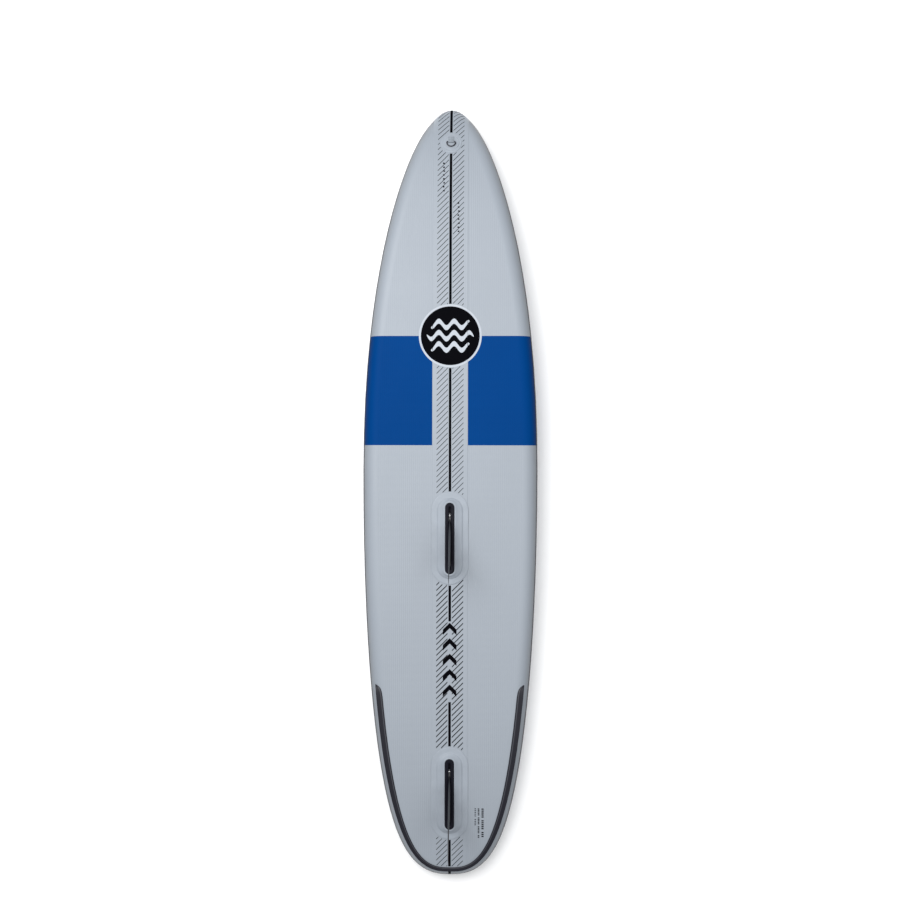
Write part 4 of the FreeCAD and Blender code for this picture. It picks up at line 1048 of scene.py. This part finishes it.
# place along the chord and half thickness of the foil section, trailing edge first
FOIL = ((1.0, 0.0), (0.992, 0.1), (0.96, 0.17), (0.88, 0.33), (0.78, 0.5), (0.66, 0.7), (0.54, 0.86),
        (0.42, 0.97), (0.32, 1.0), (0.22, 0.95), (0.14, 0.83), (0.08, 0.66), (0.04, 0.48), (0.015, 0.28),
        (0.003, 0.12), (0.0, 0.0))
BLADE_CHORD, BLADE_FRONT, BLADE_THICKNESS = 184.0, 88.0, 9.0
BOX_HEIGHT = 20.0
# outline of the base tab: its heel, top, the screw ear in front and its underside
TAB = ((-112.0, 5.0), (-113.0, 6.5), (-113.0, 16.0), (-111.0, 19.6), (-106.0, 21.2), (86.0, 21.2),
       (91.5, 19.8), (93.0, 17.4), (94.6, 16.8), (111.6, 16.8), (113.0, 15.6), (113.0, 14.6),
       (111.8, 13.8), (94.2, 13.8), (93.0, 12.6), (93.0, 4.8), (91.8, 3.6), (-111.6, 3.6))
TAB_MIDDLE = (-10.0, 12.4)
SCREW_FORWARD = 102.0
PIN_START = (-8.0, -101.0, 11.8)


def blade_at(up):
    """Sweep, chord and thickness of the blade at a height, by smooth interpolation."""
    for index in range(len(BLADE_STATIONS) - 1):
        low, high = BLADE_STATIONS[index], BLADE_STATIONS[index + 1]
        if up <= high[0]:
            break
    before = BLADE_STATIONS[max(0, index - 1)]
    after = BLADE_STATIONS[min(len(BLADE_STATIONS) - 1, index + 2)]
    span = high[0] - low[0]
    t = (up - low[0]) / span
    values = []
    for k in (1, 2, 3):
        start = (high[k] - before[k]) / (high[0] - before[0]) * span
        end = (after[k] - low[k]) / (after[0] - low[0]) * span
        values.append((2 * t ** 3 - 3 * t ** 2 + 1) * low[k] + (t ** 3 - 2 * t ** 2 + t) * start
                      + (3 * t ** 2 - 2 * t ** 3) * high[k] + (t ** 3 - t ** 2) * end)
    return values


def fin(label, station, height, sweep):
    """Raked foil blade on a base tab with a screw ear in front and a pin hole behind."""
    place = local_frame(station, PATCH_BASE) @ move((0, FIN_OFFSET, 0))
    ups = [0.0, 0.004, 0.012] + [0.025 + 0.9 * i / 26 for i in range(27)]
    ups += [0.95, 0.97, 0.983, 0.992, 0.997, 1.0]
    rings = []
    for up in ups:
        back, chord, thick = blade_at(up)
        tip = sqrt(max(0.0, 1 - max(0.0, (up - 0.93) / 0.07) ** 2.2))
        root = 1 + 0.5 * (1 - min(1.0, up / 0.012)) ** 2
        front = BLADE_FRONT - back * sweep - (1 - tip) * 0.4 * chord * BLADE_CHORD
        run = chord * BLADE_CHORD * max(0.06, tip)
        half = 0.5 * thick * BLADE_THICKNESS * max(0.1, tip) * min(root, 1.25)
        outline = [(half * t, front - run * c, BOX_HEIGHT + 0.5 + up * height) for c, t in FOIL]
        outline += [(-half * t, front - run * c, BOX_HEIGHT + 0.5 + up * height)
                    for c, t in reversed(FOIL[1:-1])]
        rings.append(moved(place, outline))
    sides = []
    for x, inset in ((-3.95, 0.5), (-3.5, 0.0), (3.5, 0.0), (3.95, 0.5)):
        sides.append(moved(place, [(x, y - copysign(inset, y - TAB_MIDDLE[0]),
                                    z - copysign(0.8 * inset, z - TAB_MIDDLE[1])) for y, z in TAB]))
    mesh = shell_mesh(label + "_fin_blade", [(rings, False, True), (sides, False, True)], 40.0)
    blade = add_object(label + "_fin_blade", mesh, label + "_fin", [fin_material])
    screw_hole = place @ move((0, SCREW_FORWARD, 5.0))
    pin_hole = place @ move(PIN_START) @ Matrix.Rotation(pi / 2, 4, "Y")
    for name, radius, matrix in (("screw_hole", 2.06, screw_hole), ("pin_hole", 1.65, pin_hole)):
        carve(blade, name, lathe_rings([(radius, 0.0), (radius, 16.0)], matrix, 24))
    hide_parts(label + "_fin")


SCREW_SEAT = 13.8 + 3.0 + 0.05
THREAD_ROOT, THREAD_CREST, THREAD_PITCH = 1.72, 1.97, 0.5
SLOT_HALF_LENGTH, SLOT_HALF_WIDTH = 4.2, 0.5


def fin_screw(label, station):
    """Pan head screw with a driver slot and a threaded shank."""
    seat = move((0, FIN_OFFSET + SCREW_FORWARD, SCREW_SEAT))
    place = local_frame(station, PATCH_BASE) @ seat
    profile = [(0.0, -10.5), (1.5, -10.5), (1.7, -10.2)]
    for i in range(19):
        rise = i * THREAD_PITCH
        profile += [(THREAD_ROOT, -10.0 + rise), (THREAD_CREST, -9.8 + rise), (THREAD_ROOT, -9.62 + rise)]
    profile += [(2.0, -0.4), (2.0, 0.0), (3.5, 0.0), (3.8, 0.25), (3.8, 1.1), (3.55, 1.7), (2.9, 2.15),
                (1.6, 2.38), (0.0, 2.4)]
    screw = loft(label + "_pan_screw", lathe_rings(profile, place, 32), label + "_screw", [steel_material],
                 caps=False, sharp_angle=50.0)
    corners = [(x * SLOT_HALF_LENGTH, y * SLOT_HALF_WIDTH) for x, y in ((1, 1), (-1, 1), (-1, -1), (1, -1))]
    carve(screw, "slot", [moved(place, [(x, y, z) for x, y in corners]) for z in (1.3, 4.0)])
    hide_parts(label + "_fin_screw")


# name, station, blade height and sweep of each fin
FINS = (("mid", MID_BOX, 190.0, 265.0), ("rear", REAR_BOX, 230.0, 305.0))
for label, station, height, sweep in FINS:
    fin_patch(label, station)
    fin_box(label, station)
    fin(label, station, height, sweep)
    fin_screw(label, station)


# ---------------------------------------------------------------- D-rings on round patches

WIRE, RING_HALF, RING_CORNER = 2.5, 18.5, 5.0
LOOP_GAP, WEBBING, WEBBING_WIDTH, WEBBING_TAIL = 0.08, 1.6, 25.0, 26.0
BOSS_HEIGHT = 4.6
RING_FORWARD = 2.0
DISC_STEPS = 96


def d_path():
    """Centre line of the ring: a straight bar on X and a half-round bow toward -Y."""
    flat = RING_HALF - RING_CORNER
    path = [(flat * (2 * i / 8 - 1), 0.0) for i in range(9)]
    path += [(flat + RING_CORNER * sin(a), -RING_CORNER * (1 - cos(a)))
             for a in turns(15, 91, 15)]
    path += [(RING_HALF * cos(a), -RING_CORNER - RING_HALF * sin(a))
             for a in turns(8, 180, 8)]
    path += [(-flat - RING_CORNER * sin(a), -RING_CORNER * (1 - cos(a)))
             for a in turns(90, 14, -15)]
    return path


def ring_set(label, station, base, deck, patch_finish, strap_finish, thread_finish):
    """Round moulded patch, stitched webbing loop and D-ring; the deck's ring hangs down."""
    sign = -1.0 if deck else 1.0
    straight = local_frame(station, base, deck=deck)
    profile = ((DISC_RADIUS, 0.15), (DISC_RADIUS, 1.2), (44.6, 1.9), (43.8, 2.3), (42.5, 2.4), (38.6, 2.4),
               (37.4, 2.2), (36.6, 1.9), (35.8, 1.9), (35.0, 2.3), (34.6, 3.1), (34.2, 3.9), (33.4, 4.4),
               (32.2, 4.6), (29.4, 4.6), (28.6, 4.35), (27.8, 4.35), (27.0, 4.6), (0.0, 4.6))
    rings = []
    for radius, height in profile:
        level = min(1.0, height / BOSS_HEIGHT)
        ring = []
        for turn in circle(DISC_STEPS):
            x, y = radius * cos(turn), radius * sin(turn)
            bent = surface(station + y, sign * (base + height), -x if deck else x)
            ring.append(bent.lerp(straight @ Vector((x, y, height)), level))
        rings.append(ring)
    points = [p for ring in rings for p in ring]
    faces = ring_faces(rings, caps=False)
    faces.append(tuple(reversed(range(DISC_STEPS))))
    mesh = mesh_from(label + "_patch_disc", points, faces, 50.0)
    patch = add_object(label + "_patch_disc", mesh, "hull", [patch_finish])
    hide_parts(label + "_patch")

    inner = WIRE + LOOP_GAP
    bar = BOSS_HEIGHT + GAP + inner + WEBBING
    place = straight @ move((0, RING_FORWARD, bar))
    middle = inner + 0.5 * WEBBING
    path = [(WEBBING_TAIL - i * 2.0, -middle) for i in range(13)]
    path += [(middle * cos(a), middle * sin(a)) for a in turns(-92, -325, -12)]
    strap = loft(label + "_webbing", band_rings(path, WEBBING_WIDTH, WEBBING, place), "hull", [strap_finish],
                 sharp_angle=50.0)
    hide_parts(label + "_strap")
    top = -middle + 0.5 * WEBBING
    stitches = []
    for y in (9.0, 12.0, 20.0, 23.0):
        stitches += [(x * 2.9, y, top, 90, 0) for x in range(-3, 4)]
    for i in range(4):
        stitches += [(s * (10.6 - 0.2 * i), 8.0 + 4.6 * i, top, 0, 0) for s in (-1, 1)]
    sew(label + "_stitches", stitches, place, "hull", thread_finish, 2.2)

    hang = place @ Matrix.Rotation(-pi / 2, 4, "X") if deck else place
    rings = sweep_rings(d_path(), WIRE, hang)
    ring = loft(label + "_d_ring", rings, label + "_ring", [ring_material], loop=True, sharp_angle=60.0)
    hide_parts(label + "_ring")


ring_set("tow", TOW_STATION, PATCH_BASE, False, patch_material, webbing_grey_material, grey_thread_material)
ring_set("leash", LEASH_STATION, RAIL + GAP, True, charcoal_material, webbing_black_material, thread_material)


# ---------------------------------------------------------------- deck pad

PAD_START, PAD_END, PAD_MARGIN, PAD_CORNER = 510.0, 2330.0, 34.0, 60.0
PAD_TOP, GROOVE_DEPTH, GROOVE_PITCH = 4.0, 1.3, 36.0
GROOVE = ((-2.4, 0.0), (-1.5, 0.8), (0.0, 1.0), (1.5, 0.8), (2.4, 0.0))
HANDLE_STATION, MAST_STATION = 1640.0, 1985.0
HANDLE_SPAN, HANDLE_BLOCK = 250.0, 84.0


def pad_half_width(station):
    """Half width of the deck pad, with its corners rounded."""
    inside = max(0.0, min(station - PAD_START, PAD_END - station, PAD_CORNER)) / PAD_CORNER
    corner = PAD_CORNER * (1 - sqrt(max(0.0, 1 - (1 - inside) ** 2)))
    return panel_half_width(station) - PAD_MARGIN - corner


def deck_pad():
    """Grooved foam pad with openings round the handle and the mast foot plate."""
    steps = (0.0, 0.02, 0.06, 0.12, 0.2, 0.3, 0.45, 0.6, 0.8, 1.0)
    stations = [PAD_START + PAD_CORNER * s for s in steps]
    run = PAD_END - PAD_START - 2 * PAD_CORNER
    stations += [PAD_START + PAD_CORNER + run * i / 40 for i in range(1, 40)]
    stations += [PAD_END - PAD_CORNER * s for s in reversed(steps)]
    base, top = RAIL + GAP, RAIL + GAP + PAD_TOP
    lanes = [GROOVE_PITCH * (i + 0.5) for i in range(-8, 8)]
    rings = []
    for index, station in enumerate(stations):
        half = pad_half_width(station)
        ends = index in (0, len(stations) - 1)
        profile = [(-half, base), (-half, top - 1.6), (-half + 0.5, top - 0.6), (-half + 1.6, top)]
        for lane in lanes:
            for shift, depth in GROOVE:
                x = max(-half + 1.7, min(half - 1.7, lane + shift))
                inside = abs(lane) < half - 14 and not ends
                profile.append((x, top - (GROOVE_DEPTH * depth if inside else 0.0)))
        profile += [(half - 1.6, top), (half - 0.5, top - 0.6), (half, top - 1.6), (half, base)]
        lowered = [(x, h - (1.0 if ends and h > top - 1.7 else 0.0)) for x, h in profile]
        rings.append([surface(station, -h, x) for x, h in lowered])
    pad = loft("deck_pad_foam", rings, "hull", [foam_material], sharp_angle=50.0)
    handle = local_frame(HANDLE_STATION, RAIL, deck=True)
    half_length = 0.5 * HANDLE_SPAN + HANDLE_BLOCK + 28
    carve(pad, "handle_opening", [moved(handle, stadium_loop(half_length, 41.0, z)) for z in (-3.0, 9.0)])
    mast = local_frame(MAST_STATION, RAIL, deck=True)
    carve(pad, "mast_opening", lathe_rings([(54.0, -3.0), (54.0, 9.0)], mast, 72))
    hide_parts("deck_pad")


deck_pad()


# ---------------------------------------------------------------- carry handle

HANDLE_RISE, HANDLE_AXIS = 38.0, 6.5
HANDLE_FRAME = local_frame(HANDLE_STATION, RAIL, deck=True)
ARCH_REACH = 0.5 * HANDLE_SPAN - 3
ARCH_RADIUS = (ARCH_REACH ** 2 + HANDLE_RISE ** 2) / (2 * HANDLE_RISE)
ARCH_CENTRE = HANDLE_AXIS + HANDLE_RISE - ARCH_RADIUS


def arch(y, lift=0.0):
    """Y and Z of a point on the handle's arch, lifted along its normal."""
    turn = asin(y / ARCH_RADIUS)
    radius = ARCH_RADIUS + lift
    return radius * sin(turn), ARCH_CENTRE + radius * cos(turn)


def on_arch(x, y, lift, direction):
    """A stitch that lies on the arch: its place, direction and lean."""
    return (x, *arch(y, lift), direction, -degrees(asin(y / ARCH_RADIUS)))


# half width, half length, corner radius and height of each loop of an anchor block
BLOCK_LOOPS = ((31.0, 42.0, 5.0, 0.7), (31.0, 42.0, 5.0, 3.4), (30.6, 41.6, 4.8, 4.2),
               (29.2, 40.6, 4.6, 4.6), (24.6, 35.0, 4.4, 4.9), (22.4, 33.4, 4.4, 5.8),
               (21.0, 32.6, 4.4, 8.2), (20.0, 32.0, 4.6, 10.8), (18.4, 30.6, 4.6, 12.0),
               (16.0, 28.4, 4.6, 12.5))


def toward_end(side, reach):
    """Frame at a distance from the handle's middle whose Z points along the board to one end."""
    place = HANDLE_FRAME @ move((0, side * reach, HANDLE_AXIS))
    return place @ Matrix.Rotation(-side * pi / 2, 4, "X")


def handle_blocks():
    """Stitched anchor blocks at both ends of the handle."""
    stitches = []
    for name, side in (("front", 1.0), ("rear", -1.0)):
        middle = side * (0.5 * HANDLE_SPAN + 0.5 * HANDLE_BLOCK)
        place = HANDLE_FRAME @ move((0, middle, 0))
        rings = [moved(place, rounded_loop(*loop)) for loop in BLOCK_LOOPS]
        block = loft("handle_block_" + name, rings, "hull", [charcoal_material], sharp_angle=50.0)
        mouth = toward_end(side, 0.5 * HANDLE_SPAN - 1)
        carve(block, "bore", lathe_rings([(4.06, 0.0), (4.06, 24.0)], mouth, 32))
        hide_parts("handle_patch_" + name)
        for x in (-27.4, 27.4):
            stitches += [(x, middle + y * 4.2, 4.75, 0, 0) for y in range(-8, 9)]
    sew("handle_stitches", stitches, HANDLE_FRAME, "hull", thread_material)


STRAP_HALF, TAPER_START = 18.0, 75.0
# face of the webbing from edge to edge: share of its half width, and height, with two sewn grooves
STRAP_FACE = ((1.0, 0.55), (0.97, 0.85), (0.9, 1.0), (0.84, 0.84), (0.78, 1.0), (0.3, 1.0), (0.0, 1.0),
              (-0.3, 1.0), (-0.78, 1.0), (-0.84, 0.84), (-0.9, 1.0), (-0.97, 0.85), (-1.0, 0.55))
# radius and height of the round stub at each end of the strap
STUB = ((0.0, -0.2), (2.6, 0.0), (3.7, 1.2), (4.0, 3.0), (4.0, 27.6), (3.6, 28.2), (0.0, 28.2))


def handle_strap():
    """Arched webbing with tapered ends and a round stub at each end."""
    count = 44
    rings = []
    for i in range(count + 1):
        y = ARCH_REACH * (2 * i / count - 1)
        taper = max(0.0, (abs(y) - TAPER_START) / (0.5 * HANDLE_SPAN - TAPER_START))
        half = STRAP_HALF - 12.0 * taper
        outline = [(x * half, t) for x, t in STRAP_FACE]
        outline += [(x, -t) for x, t in reversed(outline)]
        rings.append(moved(HANDLE_FRAME, [(x, *arch(y, t)) for x, t in outline]))
    shells = [(rings, False, True)]
    for side in (-1.0, 1.0):
        shells.append((lathe_rings(STUB, toward_end(side, ARCH_REACH - 6), 32), False, False))
    strap = add_object("handle_webbing", shell_mesh("handle_webbing", shells, 50.0), "carry_handle",
                       [webbing_black_material])
    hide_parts("handle_strap")
    stitches = []
    for side in (-1.0, 1.0):
        for i in range(6):
            stitches += [on_arch(x, side * (64.0 + i * 4.0), 1.0, 0) for x in (-12.5, 12.5)]
        stitches += [on_arch(x, side * 86.0, 1.0, 90) for x in (-8.0, -4.0, 0.0, 4.0, 8.0)]
    sew("strap_stitches", stitches, HANDLE_FRAME, "carry_handle", thread_material)


GRIP_HALF_LENGTH, GRIP_HALF_WIDTH, GRIP_HALF_HEIGHT = 59.0, 23.0, 6.0
GRIP_BORE = (18.4, 1.4)


def sleeve_ring(y, half_width, half_height, power):
    """Rounded rectangular section of the sleeve at a place along the arch."""
    ring = []
    for turn in circle(40):
        x = half_width * copysign(abs(cos(turn)) ** power, cos(turn))
        t = half_height * copysign(abs(sin(turn)) ** power, sin(turn))
        ring.append((x, *arch(y, t)))
    return moved(HANDLE_FRAME, ring)


def handle_grip():
    """Padded sleeve round the middle of the strap, with bound ends and a sewn edge."""
    rings = []
    count = 30
    for i in range(count + 1):
        y = GRIP_HALF_LENGTH * (2 * i / count - 1)
        end = (GRIP_HALF_LENGTH - abs(y)) / GRIP_HALF_LENGTH
        puff = 0.80 + 0.2 * soft_step(end / 0.3)
        if 0.06 < end < 0.13:
            puff -= 0.06
        rings.append(sleeve_ring(y, GRIP_HALF_WIDTH * (0.96 + 0.04 * puff), GRIP_HALF_HEIGHT * puff, 0.62))
    inside = [sleeve_ring(GRIP_HALF_LENGTH * (1 - 2 * j / 16), *GRIP_BORE, 0.3) for j in range(17)]
    grip = loft("handle_sleeve", rings + inside, "carry_handle", [neoprene_material], loop=True,
                sharp_angle=60.0)
    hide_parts("handle_grip")
    stitches = []
    for side in (-1.0, 1.0):
        for i in range(-13, 14):
            stitches.append(on_arch(side * 18.6, i * 4.0, 4.4, 0))
    sew("grip_stitches", stitches, HANDLE_FRAME, "carry_handle", thread_material, 2.6)


handle_blocks()
handle_strap()
handle_grip()


# ---------------------------------------------------------------- valve cap and mast foot plate

VALVE_STATION, VALVE_SIDE = 255.0, -92.0
VALVE_CAP_BASE = 1.2 + 2 * GAP + 3.0 + GAP


def valve_cap():
    """Cap with a ribbed rim, a skirt and a finger bar."""
    place = local_frame(VALVE_STATION, RAIL, VALVE_SIDE, deck=True)
    base = VALVE_CAP_BASE

    def ribs(turn, radius):
        return -0.028 * (0.5 + 0.5 * cos(24 * turn)) ** 3 if radius > 20.5 else 0.0

    profile = [(14.0, -1.0), (15.6, -1.0), (15.9, -0.6), (15.9, base), (20.6, base), (21.6, base + 0.4),
               (22.0, base + 1.0), (22.0, base + 2.8), (21.4, base + 3.7), (20.2, base + 4.0),
               (17.5, base + 4.0), (16.8, base + 3.7), (15.8, base + 3.7), (15.1, base + 4.0),
               (0.0, base + 4.0), (0.0, base + 1.2), (14.0, base + 1.2)]
    shells = [(lathe_rings(profile, place, 192, ribs), True, True)]
    bar = [moved(place, rounded_loop(*loop)) for loop in
           ((14.0, 2.5, 2.4, base + 3.8), (14.0, 2.5, 2.4, base + 4.6), (13.6, 2.1, 2.0, base + 6.2),
            (13.1, 1.6, 1.5, base + 6.9), (12.4, 1.0, 0.9, base + 7.0))]
    shells.append((bar, False, True))
    cap = add_object("valve_cap_ribbed", shell_mesh("valve_cap_ribbed", shells, 45.0), "valve_cap",
                     [valve_material])
    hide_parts("valve_cap")


def mast_plate():
    """Round plate with ribs and a boss for the threaded insert."""
    place = local_frame(MAST_STATION, RAIL, deck=True) @ move((0, 0, GAP + 0.1))
    profile = [(0.0, 0.0), (47.0, 0.0), (48.0, 0.8), (48.0, 3.4), (47.2, 4.6), (45.6, 5.2), (43.6, 5.2),
               (42.8, 4.7), (41.8, 4.7), (41.0, 5.6), (38.0, 6.0), (26.6, 6.0), (25.0, 6.9), (24.2, 8.8),
               (24.0, 12.0), (23.7, 20.2), (23.0, 21.5), (21.6, 22.0), (10.4, 22.0), (9.5, 21.7), (9.1, 21.0),
               (9.1, 2.0), (0.0, 2.0)]
    shells = [(lathe_rings(profile, place, 96), False, False)]
    for index in range(12):
        rib = place @ Matrix.Rotation(radians(30 * index + 15), 4, "Z")
        loops = [(25.0, 1.6, 5.9, 10.0), (30.0, 1.5, 5.9, 8.6), (36.0, 1.3, 5.9, 6.8), (39.4, 0.9, 5.6, 6.2)]
        bars = [moved(rib, [(x, -half, low), (x, half, low), (x, half * 0.7, high), (x, -half * 0.7, high)])
                for x, half, low, high in loops]
        shells.append((bars, False, True))
    plate = add_object("mast_plate_ribbed", shell_mesh("mast_plate_ribbed", shells, 40.0), "hull",
                       [charcoal_material])
    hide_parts("mast_plate")


valve_cap()
mast_plate()


# ---------------------------------------------------------------- finishes of the CAD parts kept

KEPT = {"dropstitch_core": core_material, "mid_fin_pin": brass_material, "rear_fin_pin": brass_material,
        "mid_fin_nut": steel_material, "rear_fin_nut": steel_material, "valve_body": valve_material,
        "valve_nut": valve_material, "valve_seal": rubber_material, "valve_poppet": rubber_material,
        "valve_plunger": valve_material, "valve_spring": steel_material, "mast_insert": steel_material}
for node, material in KEPT.items():
    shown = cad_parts[node]
    for index in range(len(shown.material_slots)):
        shown.material_slots[index].link = "OBJECT"
        shown.material_slots[index].material = material


# ---------------------------------------------------------------- floor, light and camera

def studio():
    """Pale floor, soft light from the upper left and a pale world."""
    mesh = bpy.data.meshes.new("floor")
    reach = 40.0
    corners = [(-reach, -reach, 0), (reach, -reach, 0), (reach, reach, 0), (-reach, reach, 0)]
    mesh.from_pydata(corners, [], [(0, 1, 2, 3)])
    floor = linked("floor", mesh)
    mesh.materials.append(new_material("floor_paper", "hull_pvc", (0.97, 0.97, 0.97), 0.9)[0])

    def area(name, place, target, width, height, power):
        data = bpy.data.lights.new(name, "AREA")
        data.shape = "RECTANGLE"
        data.size, data.size_y, data.energy = width, height, power
        lamp = linked(name, data)
        lamp.location = place
        lamp.rotation_mode = "QUATERNION"
        lamp.rotation_quaternion = (Vector(target) - Vector(place)).to_track_quat("-Z", "Y")

    area("key", (-2.0, 1.6, 4.8), (0.0, 0.3, 0.0), 4.2, 4.2, 320)
    area("fill", (1.9, 0.1, 6.2), (0.0, 0.1, 0.0), 7.0, 7.0, 250)
    world = bpy.data.worlds.new("studio")
    world.use_nodes = True
    world.node_tree.nodes["Background"].inputs["Color"].default_value = (0.95, 0.97, 1.0, 1.0)
    world.node_tree.nodes["Background"].inputs["Strength"].default_value = 0.42
    bpy.context.scene.world = world


CAMERA_HEIGHT, CAMERA_STATION, CAMERA_SIDE = 5500.0, 1828.0, 133.0
# millimetres of the bottom skin across the picture, the camera's roll in degrees and its sensor width
VIEW_SPAN, ROLL, SENSOR = 3822.3, 0.1, 36.0


def camera():
    """Camera over the board, square to the flat middle of the bottom."""
    data = bpy.data.cameras.new("camera")
    data.sensor_width = SENSOR
    data.lens = SENSOR * CAMERA_HEIGHT / VIEW_SPAN
    eye = linked("camera", data)
    place = Vector((CAMERA_SIDE, CAMERA_STATION, RAIL + 1 + CAMERA_HEIGHT))
    target = Vector((0.0, CAMERA_STATION, RAIL + 1))
    back = (place - target).normalized()
    up = Vector((0, 1, 0))
    right = up.cross(back).normalized()
    up = back.cross(right)
    turn = Matrix((right, up, back)).transposed().to_4x4() @ Matrix.Rotation(radians(ROLL), 4, "Z")
    eye.matrix_world = BOARD @ move(place * MM) @ turn
    bpy.context.scene.camera = eye


studio()
camera()
bpy.context.scene.view_settings.view_transform = "Standard"
bpy.context.scene.view_settings.look = "None"
